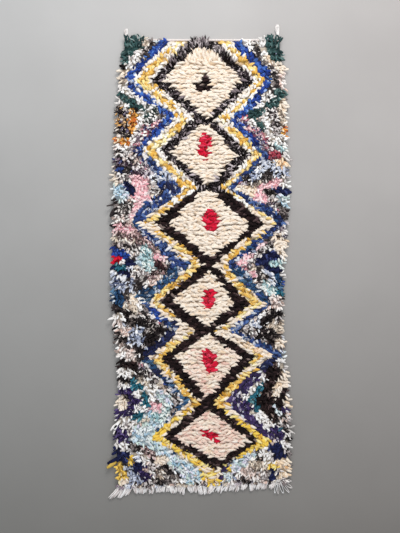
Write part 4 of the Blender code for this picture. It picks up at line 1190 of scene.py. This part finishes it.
# %% The tints of each lock
SHADE_UNEVEN = 0.05
RAG_SHADE = 1.10
RAG_EDGE_SHADE = 0.70
TUFT_SHADE = 1.08
TUFT_EDGE_SHADE = 0.50
SAME_KNOT = 0.80
SAME_PUFF = 0.62
SAME_CLUMP = 0.60

# painted light and shade: rag locks lighter at a puff's middle and darker towards its edge,
# tufts darker towards a clump's edge; the normal draw alone is random tone
shade = rng.normal(1.0, SHADE_UNEVEN, lock_count)
shade = shade * np.where(is_rag, RAG_SHADE - RAG_EDGE_SHADE * puff.away ** 2, 1.0)
shade = shade * np.where(is_tuft, TUFT_SHADE - TUFT_EDGE_SHADE * clump.away ** 2, 1.0)
chance = rng.random(lock_count)
for chosen, share, shared_chance in (
    (is_rag, SAME_KNOT, knot_chance),
    (is_rag, SAME_PUFF, puff_number(puff, seed=77)),
    (is_tuft, SAME_CLUMP, puff_number(clump, seed=83)),
):
    chance = np.where(chosen & (rng.random(lock_count) < share), shared_chance, chance)
lock_tint = np.clip(draw_tints(lock_yarn, chance) * shade[:, None], 0, 1)
second_tint = draw_tints(exchange(SPUN_WITH)[lock_yarn], rng.random(lock_count))
print("the locks' mean colour is", lock_tint.mean(axis=0).round(2), "in linear light")

# %% Build the pile
PILE_TOP = 0.0355


def lock_piece(name, chosen, widths, thicknesses):
    """The chosen locks as one mesh piece, kept off the floor and under the pile's own top."""
    picked = np.flatnonzero(chosen)
    rings = len(widths)
    body, foot, tip = bend_locks(picked, widths, thicknesses)
    body = body.reshape(len(picked), -1, 3)
    points = np.concatenate((body, foot[:, None], tip[:, None]), axis=1).reshape(-1, 3)
    points[:, 2] = np.clip(points[:, 2], FLOOR_CLEARANCE, PILE_TOP)
    ring_share = np.repeat(np.linspace(0, 1, rings), CORNERS)
    point_share = np.concatenate((ring_share, [0.0, 1.0]))
    quads, fans = tube_faces(len(picked), rings, CORNERS)
    attributes = {
        "yarn": np.repeat(lock_tint[picked], len(point_share), axis=0),
        "second_yarn": np.repeat(second_tint[picked], len(point_share), axis=0),
        "along": np.tile(point_share, len(picked)),
    }
    unwrap = tube_unwrap(len(picked), rings, CORNERS)
    return mesh_from_arrays(name, points, quads, fans, unwrap, attributes)


HALVES_MEET = 0.02
upper = lock_y > HALVES_MEET
left_half = lock_x < 0
cream = is_yarn("cream", "shell")
dark = is_yarn("ink", "fleck", "fleece")
golden = is_yarn("gold", "lemon", "milk", "primrose")
groups = {
    "cream_wool": wool & cream,
    "dark_wool": wool & dark,
    "gold_wool": wool & golden,
    "other_wool": wool & ~(cream | dark | golden),
    "rags_upper_left": ~wool & upper & left_half,
    "rags_lower_left": ~wool & ~upper & left_half,
    "rags_upper_right": ~wool & upper & ~left_half,
    "rags_lower_right": ~wool & ~upper & ~left_half,
}
pile = {}
for name, chosen in groups.items():
    rags = name.startswith("rags")
    profile = (RAG_WIDTHS, RAG_THICKNESSES) if rags else (WOOL_WIDTHS, WOOL_THICKNESSES)
    pile[name] = lock_piece(name, chosen, *profile)

# %% [markdown]
# ## The woven ground
#
# Under the shag lies a plain woven cloth with the knots tied into it. Between locks it shows as
# the collars of the knots, so it takes the chart's colours, darker with painted shade and dust.
# It is a closed sheet of a few millimetres: a grid whose under side is the same grid turned over.

# %% Build the ground
GROUND_COLUMNS = 62
GROUND_ROWS = 283
GROUND_THICKNESS = 0.0030
UNDER_LEVEL = 0.0006
ROPE_HEIGHT = 0.0090
ROPE_RIM = 0.035
ROPE_MEAN = 0.62
ROPE_PHASE = 0.25
ROPE_UNEVEN = 0.16
DOME_SHARE = 0.8


def build_ground():
    """A sheet with v from the bottom end to the top and u from selvedge to selvedge. Its upper side
    rises in each row of knots to a rope, highest at the row's lower side, and thins out to plain
    cloth at the rim. Its under side lies flat just over the floor."""
    u, v = np.meshgrid(np.linspace(0, 1, GROUND_COLUMNS), np.linspace(0, 1, GROUND_ROWS))
    level = BOTTOM_END_MIDDLE + (TOP_END - BOTTOM_END_MIDDLE) * v
    left = read_along(SELVEDGES, "left", level) + LEFT_INSET
    right = read_along(SELVEDGES, "right", level) - RIGHT_INSET
    x = left + (right - left) * u
    y = bottom_end(x) + (TOP_END - bottom_end(x)) * v
    to_rim = np.minimum(np.minimum(x - left, right - x), np.minimum(TOP_END - y, y - bottom_end(x)))
    inside = smooth_step(to_rim / ROPE_RIM)
    rope = ROPE_MEAN + (1 - ROPE_MEAN) * np.cos((v * ROW_COUNT - ROPE_PHASE) * math.tau)
    bumps = 1 + ROPE_UNEVEN * ripple(x, y, size=0.05, seed=17)
    dome = puff_dome(puffs(x.ravel() / CM, y.ravel() / CM)).reshape(x.shape)
    rags = (x / CM < zigzag(BLUE_LEFT, y / CM)) | (x / CM > zigzag(BLUE_RIGHT, y / CM))
    height = GROUND_THICKNESS + ROPE_HEIGHT * inside * rope * bumps
    height = height + np.where(rags, DOME_SHARE * PUFF_DOME * dome * inside, 0.0)
    top = np.stack((x, y, height), axis=-1).reshape(-1, 3)
    under = np.stack((x, y, np.full_like(x, UNDER_LEVEL)), axis=-1).reshape(-1, 3)
    corner = np.arange((GROUND_ROWS - 1) * GROUND_COLUMNS).reshape(GROUND_ROWS - 1, -1)[:, :-1]
    corner = corner.ravel()
    up = np.stack(
        (corner, corner + 1, corner + 1 + GROUND_COLUMNS, corner + GROUND_COLUMNS), axis=-1
    )
    count = GROUND_ROWS * GROUND_COLUMNS
    index = np.arange(count).reshape(GROUND_ROWS, GROUND_COLUMNS)
    rim = np.concatenate((index[0], index[1:, -1], index[-1, -2::-1], index[-2:0:-1, 0]))
    after = np.roll(rim, -1)
    walls = np.stack((after, rim, rim + count, after + count), axis=-1)
    quads = np.concatenate((up, up[:, ::-1] + count, walls[:, ::-1]))
    collar_yarn = yarn_of_knots(top[:, 0] / CM, top[:, 1] / CM, np.random.default_rng(5))
    tints = draw_tints(exchange(DUSTY_SHADED_COLLARS)[collar_yarn], np.zeros(len(collar_yarn)))
    return mesh_from_arrays(
        "woven_ground",
        np.concatenate((top, under)),
        quads,
        np.zeros((0, 3), dtype=int),
        attributes={"yarn": np.concatenate((tints, tints))},
    )


ground = build_ground()

# %% [markdown]
# ## The warp ends
#
# At the bottom end the cream warp threads come out of the cloth as short plied ends, bunched
# where the weft pulled them together. At the top they are woven into a thin heading, and at each
# corner the last ones hang as a small knotted tassel. A plied yarn is a tube whose section is an
# ellipse that turns as it runs, which gives the two-strand twist without modelling each strand.

# %% Plied yarn along many lines
PLY_CORNERS = 8
PLY_DEPTH = 0.26
END_REACH = 0.6


def plied_yarns(name, lines, radius, turns, taper):
    """Tubes along many lines of the same number of points. Around each point the radius is
    1 plus about a quarter of the cosine of twice the angle less the twist. The twist grows evenly
    along the line by the given number of turns, and taper says how the radius shrinks on the way."""
    count, rings = lines.shape[:2]
    tangent = np.gradient(lines, axis=1)
    tangent /= np.maximum(np.linalg.norm(tangent, axis=-1, keepdims=True), 1e-9)
    up = np.array([0.0, 0.0, 1.0])
    sideways = np.cross(tangent, up)
    sideways /= np.maximum(np.linalg.norm(sideways, axis=-1, keepdims=True), 1e-6)
    upward = np.cross(sideways, tangent)
    angle = np.arange(PLY_CORNERS) * math.tau / PLY_CORNERS
    share = np.linspace(0, 1, rings)
    twist = share[None, :, None] * turns[:, None, None] * math.tau
    size = radius[:, None, None] * taper(share)[None, :, None]
    size = size * (1 + PLY_DEPTH * np.cos(2 * (angle[None, None, :] - twist)))
    points = lines[:, :, None, :]
    points = points + (size * np.cos(angle))[..., None] * sideways[:, :, None, :]
    points = points + (size * np.sin(angle))[..., None] * upward[:, :, None, :]
    body = points.reshape(count, -1, 3)
    tips = lines[:, -1] + tangent[:, -1] * radius[:, None] * END_REACH
    ends = np.stack((lines[:, 0], tips), axis=1)
    merged = np.concatenate((body, ends), axis=1).reshape(-1, 3)
    merged[:, 2] = np.maximum(merged[:, 2], FLOOR_CLEARANCE)
    quads, fans = tube_faces(count, rings, PLY_CORNERS)
    quads, fans = quads[:, ::-1], fans[:, ::-1]
    tint_rng = np.random.default_rng(len(name))
    tints = draw_tints(np.full(count, YARN_INDEX["warp"]), tint_rng.random(count))
    tints = tints * tint_rng.normal(1.0, SHADE_UNEVEN, count)[:, None]
    per_tube = rings * PLY_CORNERS + 2
    return mesh_from_arrays(
        name, merged, quads, fans,
        attributes={
            "yarn": np.repeat(np.clip(tints, 0, 1), per_tube, axis=0),
            "along": np.tile(np.concatenate((np.repeat(share, PLY_CORNERS), [0.0, 1.0])), count),
        },
    )


# %% [markdown]
# The fringe is a few hundred strands in bunches. A comb, kept as a short table along the end, says
# how far the strands lean and how long they grow at each place.

# %% The fringe
FRINGE_STRANDS = 320
FRINGE_RINGS = 9
FRINGE_LIFT = 0.0095
FRINGE_INSET = 0.010
FRINGE_REACH = (0.034, 0.046)
FRINGE_LAYERS = (0.0040, 0.0150)
STRAND_RADIUS = (0.0026, 0.0040)
STRAND_TURN = 0.020
STRAND_WAVE = 0.0024
STRAND_WAVES = 5.0
STRAND_BEND = 1.2
STRAND_LEAN = 0.12
START_WANDER = 0.0008
PAST_REACH = 0.004
SINK_WITHIN = 0.6
TIP_SINK = 0.35
TIP_THINNING = 0.35
Comb = namedtuple("Comb", "along lean growth")
FRINGE_COMB = (
    Comb(along=-0.430, lean=-1.10, growth=1.75),
    Comb(along=-0.412, lean=-0.85, growth=1.40),
    Comb(along=-0.350, lean=-0.42, growth=1.00),
    Comb(along=-0.200, lean=-0.18, growth=0.88),
    Comb(along=-0.060, lean=-0.05, growth=1.12),
    Comb(along=0.040, lean=-0.25, growth=1.12),
    Comb(along=0.250, lean=-0.20, growth=0.88),
    Comb(along=0.340, lean=0.00, growth=0.86),
    Comb(along=0.375, lean=0.15, growth=0.50),
    Comb(along=0.430, lean=0.45, growth=0.36),
)
BUNCHES = 30
BUNCH_WIDTHS = (0.45, 1.55)
BUNCH_REACH = (0.80, 1.15)
BUNCH_LEAN = 0.34
BUNCH_DRAW = 0.7
BUNCH_CREST = 1.04
BUNCH_ROUND = 0.4


def build_fringe():
    """Strands side by side. Each leaves the cloth's edge, sinks to its own layer over the floor
    by a smooth step, and swings sideways with a power of the way along it. The strands of
    one bunch share a reach and a lean, and draw together at their tips."""
    ends = np.random.default_rng(21)
    share = (np.arange(FRINGE_STRANDS) + 0.5) / FRINGE_STRANDS
    left = read_along(SELVEDGES, "left", BOTTOM_END_MIDDLE) + FRINGE_INSET
    right = read_along(SELVEDGES, "right", BOTTOM_END_MIDDLE) - FRINGE_INSET
    start_x = left + (right - left) * share + ends.normal(0, START_WANDER, FRINGE_STRANDS)
    borders = np.cumsum(ends.uniform(*BUNCH_WIDTHS, BUNCHES))
    borders = np.concatenate(([0.0], borders / borders[-1]))
    bunch = np.clip(np.searchsorted(borders, share) - 1, 0, BUNCHES - 1)
    within = (share - borders[bunch]) / (borders[bunch + 1] - borders[bunch]) - 0.5
    half_width = 0.5 * (borders[bunch + 1] - borders[bunch]) * (right - left)
    bunch_reach = ends.uniform(*BUNCH_REACH, BUNCHES)[bunch]
    bunch_lean = ends.uniform(-BUNCH_LEAN, BUNCH_LEAN, BUNCHES)[bunch]
    reach = ends.uniform(*FRINGE_REACH, FRINGE_STRANDS) * bunch_reach
    reach = reach * (BUNCH_CREST - BUNCH_ROUND * within ** 2)
    reach = reach * read_along(FRINGE_COMB, "growth", start_x)
    lean = read_along(FRINGE_COMB, "lean", start_x) + bunch_lean
    lean = lean - BUNCH_DRAW * within * half_width / reach
    lean = lean + ends.normal(0, STRAND_LEAN, FRINGE_STRANDS)
    s = np.linspace(0, 1, FRINGE_RINGS)[None, :]
    wave = ends.uniform(-1, 1, (FRINGE_STRANDS, 1)) * STRAND_WAVE * np.sin(s * STRAND_WAVES)
    x = start_x[:, None] + lean[:, None] * reach[:, None] * s ** STRAND_BEND + wave
    y = bottom_end(start_x)[:, None] + FRINGE_INSET - (reach[:, None] + PAST_REACH) * s
    layer = ends.uniform(*FRINGE_LAYERS, FRINGE_STRANDS)[:, None]
    sink = smooth_step(s / SINK_WITHIN)
    z = FRINGE_LIFT * (1 - sink) + layer * sink * (1 - TIP_SINK * s ** 4)
    lines = np.stack((x, y, z), axis=-1)
    radius = ends.uniform(*STRAND_RADIUS, FRINGE_STRANDS)
    turns = reach / STRAND_TURN
    return plied_yarns("fringe_strands", lines, radius, turns, lambda t: 1.05 - TIP_THINNING * t ** 4)


fringe = build_fringe()

# %% [markdown]
# At the lower right corner a few long warp ends were never cut. They fold back as thin loops.

# %% The loose loops at the lower right corner
Loop = namedtuple("Loop", "x y width length lean")
LOOSE_LOOPS = (
    Loop(x=0.386, y=-1.064, width=0.014, length=0.066, lean=1.22),
    Loop(x=0.386, y=-1.066, width=0.018, length=0.084, lean=0.88),
    Loop(x=0.384, y=-1.068, width=0.012, length=0.090, lean=0.62),
    Loop(x=0.382, y=-1.070, width=0.016, length=0.078, lean=0.32),
    Loop(x=0.380, y=-1.072, width=0.010, length=0.074, lean=0.02),
    Loop(x=0.378, y=-1.074, width=0.012, length=0.070, lean=-0.20),
)
LOOP_START_HEIGHT = 0.0260
LOOP_SINK = 0.0200
LOOP_STEP = 0.0011
LOOP_RADIUS = 0.0015
LOOP_TURNS = 9.0
LOOP_POINTS = 21
LOOP_CLOSING = 0.93
LOOP_NECK = 0.6
LOOP_BELLY = 0.6


def build_loops():
    """Long loose warp ends that fold back on themselves: each is a drawn-out ellipse that starts
    and ends at the cloth's edge, turned by its lean."""
    t = np.linspace(0, 1, LOOP_POINTS)
    lines = []
    for number, loop in enumerate(LOOSE_LOOPS):
        out = loop.length * np.sin(t * math.pi * LOOP_CLOSING)
        belly = LOOP_NECK + LOOP_BELLY * np.sin(t * math.pi)
        aside = loop.width * 0.5 * -np.cos(t * math.pi) * belly
        x = loop.x + aside * math.cos(loop.lean) + out * math.sin(loop.lean)
        y = loop.y + aside * math.sin(loop.lean) - out * math.cos(loop.lean)
        sink = LOOP_SINK * np.sin(t * math.pi)
        z = LOOP_START_HEIGHT - sink + LOOP_STEP * number * np.sin(t * math.pi)
        lines.append(np.stack((x, y, z), axis=-1))
    radius = np.full(len(lines), LOOP_RADIUS)
    turns = np.full(len(lines), LOOP_TURNS)
    return plied_yarns("loose_warp_ends", np.array(lines), radius, turns, np.ones_like)


loops = build_loops()

# %% [markdown]
# The heading is three cords side by side, and a tassel stands out from each of its ends. Both start
# where the solid model has them, a hair's breadth clear of the pile.

# %% The heading and its corner tassels
HEADING_GAP = 0.0003
HEADING_WIDTH = 0.009
CORD_RINGS = 90
CORD_TURNS = 44.0
CORD_LEVEL = 0.0030
CORD_RADII = np.array([0.0024, 0.0023, 0.0021])
CORD_SWAY = 0.0004
CORD_SWAYS = 19
CORD_HEAVE = 0.0006
CORD_HEAVES = 33


def build_heading():
    """Three plied cords side by side across the top end, each a gently wandering straight line."""
    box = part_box("top_heading")
    start, end = box[0][0], box[1][0]
    count = len(CORD_RADII)
    wander = np.random.default_rng(31).uniform(0, math.tau, count)
    s = np.linspace(0, 1, CORD_RINGS)
    lines = []
    for number in range(count):
        x = start + (end - start) * s
        y = TOP_END + HEADING_GAP + HEADING_WIDTH * (number + 0.5) / count
        y = y + CORD_SWAY * np.sin(s * CORD_SWAYS + wander[number])
        z = CORD_LEVEL + CORD_HEAVE * np.sin(s * CORD_HEAVES + wander[number])
        lines.append(np.stack((x, y, z), axis=-1))
    turns = np.full(count, CORD_TURNS)
    return plied_yarns("heading_cords", np.array(lines), CORD_RADII, turns, np.ones_like)


Tassel = namedtuple("Tassel", "node across reach lean head")
TASSELS = (
    Tassel("corner_tassel_left", across=-0.380, reach=0.045, lean=-0.02, head=0.021),
    Tassel("corner_tassel_right", across=0.380, reach=0.066, lean=-0.04, head=0.024),
)
TASSEL_STRANDS = 26
TASSEL_LEVEL = 0.0080
TASSEL_DEPTH = 0.0060
NECK_WIDTH = 0.30
NECK_LENGTH = 0.30
TASSEL_RADIUS = (0.0014, 0.0020)
TASSEL_TURNS = 3.0
TASSEL_RINGS = 9
TASSEL_BEND = 1.3
TASSEL_TUCK = 0.002
TASSEL_THINNING = 0.35
SHORTEST_STRAND = 0.86
SWELL_LENGTH = 0.45
SWELL_POWER = 0.7
CLOSING = 0.35
CLOSING_FROM = 0.8
CLOSING_LENGTH = 0.2


def build_tassel(tassel):
    """A bunch of thin strands from the heading that swells into a knotted, combed-out tip. The
    strands' spread is narrow along the neck, widens to the head with a power of the way along, and
    closes a little again at the very tip."""
    strands = np.random.default_rng(41)
    count = TASSEL_STRANDS
    foot = TOP_END + HEADING_GAP + HEADING_WIDTH
    ring = strands.uniform(0, math.tau, count)[:, None]
    spot = np.sqrt(strands.uniform(0, 1, count))[:, None]
    s = np.linspace(0, 1, TASSEL_RINGS)[None, :]
    full = tassel.reach + HEADING_WIDTH
    long = strands.uniform(SHORTEST_STRAND, 1.0, count)[:, None] * full
    swell = np.clip((s - NECK_LENGTH) / SWELL_LENGTH, 0, 1) ** SWELL_POWER
    neck = NECK_WIDTH + (1 - NECK_WIDTH) * swell
    neck = neck * (1 - CLOSING * np.clip((s - CLOSING_FROM) / CLOSING_LENGTH, 0, 1))
    x = tassel.across + np.cos(ring) * spot * tassel.head * 0.5 * neck
    x = x + tassel.lean * long * s ** TASSEL_BEND
    y = foot - TASSEL_TUCK + long * s
    z = TASSEL_LEVEL + np.sin(ring) * spot * TASSEL_DEPTH * neck
    lines = np.stack((x, y, z), axis=-1)
    radius = strands.uniform(*TASSEL_RADIUS, count)
    turns = np.full(count, TASSEL_TURNS)
    name = tassel.node.replace("tassel", "tuft")
    return plied_yarns(name, lines, radius, turns, lambda t: 1.0 - TASSEL_THINNING * t)


heading = build_heading()
tufts = {tassel.node: build_tassel(tassel) for tassel in TASSELS}

# %% [markdown]
# ## Shader maths in Python
#
# A node tree drawn by hand is hard to read. A small class wraps a socket, so that an expression
# such as 1 - mask adds its Math nodes by itself, and one method adds any other node.

# %% The socket class
class Signal:
    """A socket's output that can be added, subtracted and multiplied like a number."""

    def __init__(self, tree, socket):
        self.tree = tree
        self.socket = socket

    def node(self, kind, settings=None, inputs=None, output=0):
        """Any other node: its settings first, then the values or links of its sockets."""
        node = self.tree.nodes.new(kind)
        settings = dict(settings or {})
        stops = settings.pop("stops", None)
        for key, value in settings.items():
            setattr(node, key, value)
        if stops:
            ramp = node.color_ramp
            for number, (place, colour) in enumerate(stops):
                stop = ramp.elements[number] if number < 2 else ramp.elements.new(place)
                stop.position = place
                stop.color = (*colour, 1.0)
        for key, value in (inputs or {}).items():
            if isinstance(value, Signal):
                self.tree.links.new(value.socket, node.inputs[key])
            else:
                node.inputs[key].default_value = value
        return Signal(self.tree, node.outputs[output])

    def math(self, operation, *values, clamp=False):
        settings = {"operation": operation, "use_clamp": clamp}
        return self.node("ShaderNodeMath", settings, dict(enumerate(values)))

    def __add__(self, other):
        return self.math("ADD", self, other)

    __radd__ = __add__

    def __mul__(self, other):
        return self.math("MULTIPLY", self, other)

    __rmul__ = __mul__

    def __sub__(self, other):
        return self.math("SUBTRACT", self, other)

    def __rsub__(self, other):
        return self.math("SUBTRACT", other, self)

    def clamp(self):
        return self.math("ADD", self, 0.0, clamp=True)

    def mix(self, factor, first, second, blend="MIX"):
        """Two colours mixed by a factor."""
        settings = {"data_type": "RGBA", "blend_type": blend}
        return self.node("ShaderNodeMix", settings, {0: factor, 6: first, 7: second}, output=2)

    def attribute(self, name, output=0):
        """A colour that every point of the mesh carries, or with output 2 a number."""
        return self.node("ShaderNodeAttribute", {"attribute_name": name}, output=output)

    def noise(self, scale, detail, place=None):
        """Cloudy noise at a place, by default the object's own coordinates."""
        vector = self if place is None else place
        return self.node(
            "ShaderNodeTexNoise", inputs={"Vector": vector, "Scale": scale, "Detail": detail}
        )

    def toned(self, red, green, blue):
        """This colour with its three parts multiplied by three numbers."""
        tone = self.node("ShaderNodeCombineColor", inputs={0: red, 1: green, 2: blue})
        return self.mix(1.0, self, tone, blend="MULTIPLY")


def make_material(name, paint, roughness, specular=0.15, sheen=0.0, bump=0.0, depth=0.0):
    """A material with a Principled shader. Paint is a function from the object's coordinates to a
    colour and the height of a relief, which may be missing."""
    material = bpy.data.materials.new(name)
    material.use_nodes = True
    tree = material.node_tree
    shader = tree.nodes["Principled BSDF"]
    coordinates = tree.nodes.new("ShaderNodeTexCoord")
    start = Signal(tree, coordinates.outputs["Object"])
    colour, height = paint(start)
    shader.inputs["Roughness"].default_value = roughness
    shader.inputs["Sheen Weight"].default_value = sheen
    shader.inputs["Specular IOR Level"].default_value = specular
    tree.links.new(colour.socket, shader.inputs["Base Color"])
    if height is not None:
        settings = {"Strength": bump, "Distance": depth, "Height": height}
        relief = start.node("ShaderNodeBump", inputs=settings)
        tree.links.new(relief.socket, shader.inputs["Normal"])
    print("material", name, "with", len(tree.nodes), "nodes")
    return material


# %% [markdown]
# ## Yarn materials
#
# Wool scatters light from a haze of fibres: it is matt, a little brighter at grazing angles, and
# its locks show fine streaks along their length. Torn cloth is flatter, with a knit's fine ribs
# and the odd flecks of a print. Both read the colour attribute of their lock, darken it towards
# the knot with painted shade, which also stands for a little dust there, and streak it along the
# lock through the lock's own map.

# %% Lock materials
Look = namedtuple("Look", "streak fleck ribs marl spot shadow")
MARL_EDGE = 12.0
FIBRE_PITCH = 60.0
FIBRE_CROSS_PITCH = 2.2
SHADOW_REACH = 1.7
SHADOW_RED = 0.10
SHADOW_BLUE = 0.14
MOTTLE_SCALE = 260.0
MOTTLE_RELIEF = 0.6


def lock_paint(look):
    """The lock's two tints marled together, times streaks along the lock. Towards the root the
    colour is darkened by the look's painted shadow, which stands for the shade between the locks
    and a little dust. It is darkened less in red, so that this painted shade is a warm brown."""

    def paint(start):
        mask = ((start.noise(look.spot, 1.0) - (1 - look.marl)) * MARL_EDGE + 0.5).clamp()
        colour = start.mix(mask, start.attribute("yarn"), start.attribute("second_yarn"))
        scale = (look.ribs * FIBRE_PITCH, FIBRE_PITCH * FIBRE_CROSS_PITCH, 1.0)
        flat = start.node("ShaderNodeUVMap", {"uv_map": "lock_map"})
        stretched = start.node("ShaderNodeMapping", inputs={"Vector": flat, "Scale": scale})
        fibres = start.noise(1.0, 3.0, stretched)
        mottle = start.noise(MOTTLE_SCALE, 2.0)
        light = 1 - look.streak + fibres * (2 * look.streak)
        worn = (mottle - 0.5) * look.fleck
        # painted shade: darker towards the knot, where the locks shade each other
        shade = (1 - start.attribute("along", output=2) * SHADOW_REACH).clamp() * look.shadow
        value = light * (1 - shade) + worn
        tinted = colour.toned(value + shade * SHADOW_RED, value, value - shade * SHADOW_BLUE)
        return tinted, fibres + mottle * MOTTLE_RELIEF

    return paint


LOCK_RELIEF = 0.0016
soft_wool = make_material(
    "soft_wool",
    lock_paint(Look(streak=0.16, fleck=0.10, ribs=10.0, marl=0.45, spot=300.0, shadow=0.26)),
    roughness=0.95, sheen=0.16, bump=0.50, depth=LOCK_RELIEF,
)
dark_fleece = make_material(
    "dark_fleece",
    lock_paint(Look(streak=0.40, fleck=0.06, ribs=12.0, marl=0.34, spot=190.0, shadow=0.45)),
    roughness=0.95, sheen=0.03, bump=0.60, depth=LOCK_RELIEF,
)
torn_rag = make_material(
    "torn_rag",
    lock_paint(Look(streak=0.18, fleck=0.16, ribs=6.0, marl=0.38, spot=150.0, shadow=0.42)),
    roughness=0.93, sheen=0.04, bump=0.45, depth=LOCK_RELIEF,
)

LOCK_MATERIALS = {"dark_wool": dark_fleece}
for name, piece in pile.items():
    default = torn_rag if name.startswith("rags") else soft_wool
    piece.data.materials.append(LOCK_MATERIALS.get(name, default))

# %% [markdown]
# The warp ends are off-white plied yarn, with painted shade where they leave the cloth. The ground
# shows the colours of the knots' collars, darkened by painted shade, crossed by the fine grid of
# its own warp and weft.

# %% Warp and ground materials
WARP_LIGHT = 0.88
FUZZ_LIGHT = 0.22
DIRT_LIGHT = 0.16
ROOT_PAINTED_SHADE = 0.30
ROOT_SHADE_REACH = 4.0
WARP_PITCH = 1700.0
WEFT_PITCH = 1300.0
# painted shade: the ground is darker than the yarns of its collars
GROUND_SHADED_VALUE = 0.74
WEAVE_LIGHT = 0.10


def warp_paint(start):
    """The strand's tint with fine fibre noise and broad dirt, and painted shade near its root."""
    fuzz = start.noise(900.0, 3.0)
    dirt = start.noise(60.0, 2.0)
    # painted shade: darker where the strand leaves the cloth
    root = (1 - start.attribute("along", output=2) * ROOT_SHADE_REACH).clamp()
    value = WARP_LIGHT + fuzz * FUZZ_LIGHT + (dirt - 0.5) * DIRT_LIGHT - root * ROOT_PAINTED_SHADE
    return start.attribute("yarn").toned(value, value, value), fuzz


def ground_paint(start):
    """The collars' colours, darkened by painted shade, times one sine wave across and one along it.
    """
    across = start.node("ShaderNodeSeparateXYZ", inputs={0: start})
    along = start.node("ShaderNodeSeparateXYZ", inputs={0: start}, output=1)
    weave = (across * WARP_PITCH).math("SINE", across * WARP_PITCH)
    weave = weave * (along * WEFT_PITCH).math("SINE", along * WEFT_PITCH)
    value = GROUND_SHADED_VALUE + weave * WEAVE_LIGHT
    return start.attribute("yarn").toned(value, value, value), weave


plied_warp = make_material("plied_warp", warp_paint, 0.93, sheen=0.15, bump=0.5, depth=0.0008)
woven_back = make_material("woven_back", ground_paint, 0.95, specular=0.1, bump=0.4, depth=0.0006)
for piece in (fringe, loops, heading, *tufts.values()):
    piece.data.materials.append(plied_warp)
ground.data.materials.append(woven_back)

# %% [markdown]
# ## Floor, light and camera
#
# The runner is seen from straight above, so the camera looks down its middle. The light is a
# window's: a large soft source past the top end and a little to the right, which leaves a soft
# shadow along the left edge and under the fringe, with a pale sky filling the rest.

# %% The floor
FLOOR_SIZE = 12.0
SHADED_NEAR_GREY = (0.215, 0.212, 0.200, 1)
LIT_WINDOW_GREY = (0.50, 0.50, 0.495, 1)
PAINTED_LIGHT_RISE = 0.38
PAINTED_LIGHT_MIDDLE = 0.52
CLOUD_SCALE = 2.2
CLOUD_LIGHT = 0.16
CORNER_DARK = 0.13
SIDE_TONE = (0.02, -0.02, -0.03)


def floor_paint(start):
    """Painted light: grey that rises evenly from the near side to the window's side. It is a little
    warmer at the right, under faint clouds, and darker towards the far right corner."""
    across = start.node("ShaderNodeSeparateXYZ", inputs={0: start})
    along = start.node("ShaderNodeSeparateXYZ", inputs={0: start}, output=1)
    # painted light: the floor's grey rises towards the window
    share = (along * PAINTED_LIGHT_RISE + PAINTED_LIGHT_MIDDLE).clamp()
    side = (across * 0.50 + 0.50).clamp()
    corner = (across * 1.4).clamp() * (along * 1.6 - 0.7).clamp()
    value = (0.92 + start.noise(CLOUD_SCALE, 4.0) * CLOUD_LIGHT) * (1.0 - corner * CORNER_DARK)
    tone = start.mix(share, SHADED_NEAR_GREY, LIT_WINDOW_GREY)
    return tone.toned(*(value + side * warmth for warmth in SIDE_TONE)), None


def build_floor():
    """One square face around the origin."""
    half = FLOOR_SIZE / 2
    points = half * np.array([[-1, -1, 0], [1, -1, 0], [1, 1, 0], [-1, 1, 0]])
    quads = np.array([[0, 1, 2, 3]])
    floor = mesh_from_arrays("studio_floor", points, quads, np.zeros((0, 3), dtype=int))
    floor.data.materials.append(make_material("plain_floor", floor_paint, 0.75, specular=0.2))
    return floor


floor = build_floor()

# %% The lights
Lamp = namedtuple("Lamp", "name place size power colour")
LAMPS = (
    Lamp("window_light", place=(0.9, 3.6, 3.2), size=2.0, power=150.0, colour=(1.0, 0.985, 0.96)),
    Lamp("sky_light", place=(-0.4, -0.3, 4.2), size=4.0, power=62.0, colour=(0.97, 0.985, 1.0)),
)
ROOM_COLOUR = (0.93, 0.95, 1.0, 1.0)
ROOM_STRENGTH = 0.42


def area_light(lamp):
    """A square soft light that faces the origin."""
    data = bpy.data.lights.new(lamp.name, "AREA")
    data.size = lamp.size
    data.energy = lamp.power
    data.color = lamp.colour
    light = bpy.data.objects.new(lamp.name, data)
    bpy.context.scene.collection.objects.link(light)
    x, y, z = lamp.place
    light.location = lamp.place
    light.rotation_euler = (math.atan2(math.hypot(x, y), z), 0.0, math.atan2(x, -y))
    print(lamp.name, lamp.power, "W")


for lamp in LAMPS:
    area_light(lamp)
world = bpy.data.worlds.new("pale_room")
world.use_nodes = True
world.node_tree.nodes["Background"].inputs[0].default_value = ROOM_COLOUR
world.node_tree.nodes["Background"].inputs[1].default_value = ROOM_STRENGTH
bpy.context.scene.world = world
bpy.context.scene.view_settings.view_transform = "Standard"

# %% The camera
LENS = 45.0
SENSOR = 36.0
VIEW_HEIGHT = 2.665
VIEW_CENTRE = (-0.010, -0.0075)
PILE_LEVEL = 0.020
camera_data = bpy.data.cameras.new("view_from_above")
camera_data.lens = LENS
camera_data.sensor_width = SENSOR
camera = bpy.data.objects.new("view_from_above", camera_data)
camera.location = (*VIEW_CENTRE, PILE_LEVEL + VIEW_HEIGHT * LENS / SENSOR)
bpy.context.scene.collection.objects.link(camera)
bpy.context.scene.camera = camera
print("camera", round(camera.location.z, 2), "m above the floor")

# %% [markdown]
# ## Put each piece on the frame
#
# Every piece rides on the one rigid body, and each solid is replaced by the pieces that stand for it.

# %% Riding and replacing
for piece in (ground, *pile.values()):
    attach(piece, "root")
for piece in (fringe, loops, heading, *tufts.values()):
    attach(piece, "root")
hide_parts("knotted_pile")
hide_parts("bottom_fringe")
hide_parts("top_heading")
for node, piece in tufts.items():
    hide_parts(node)
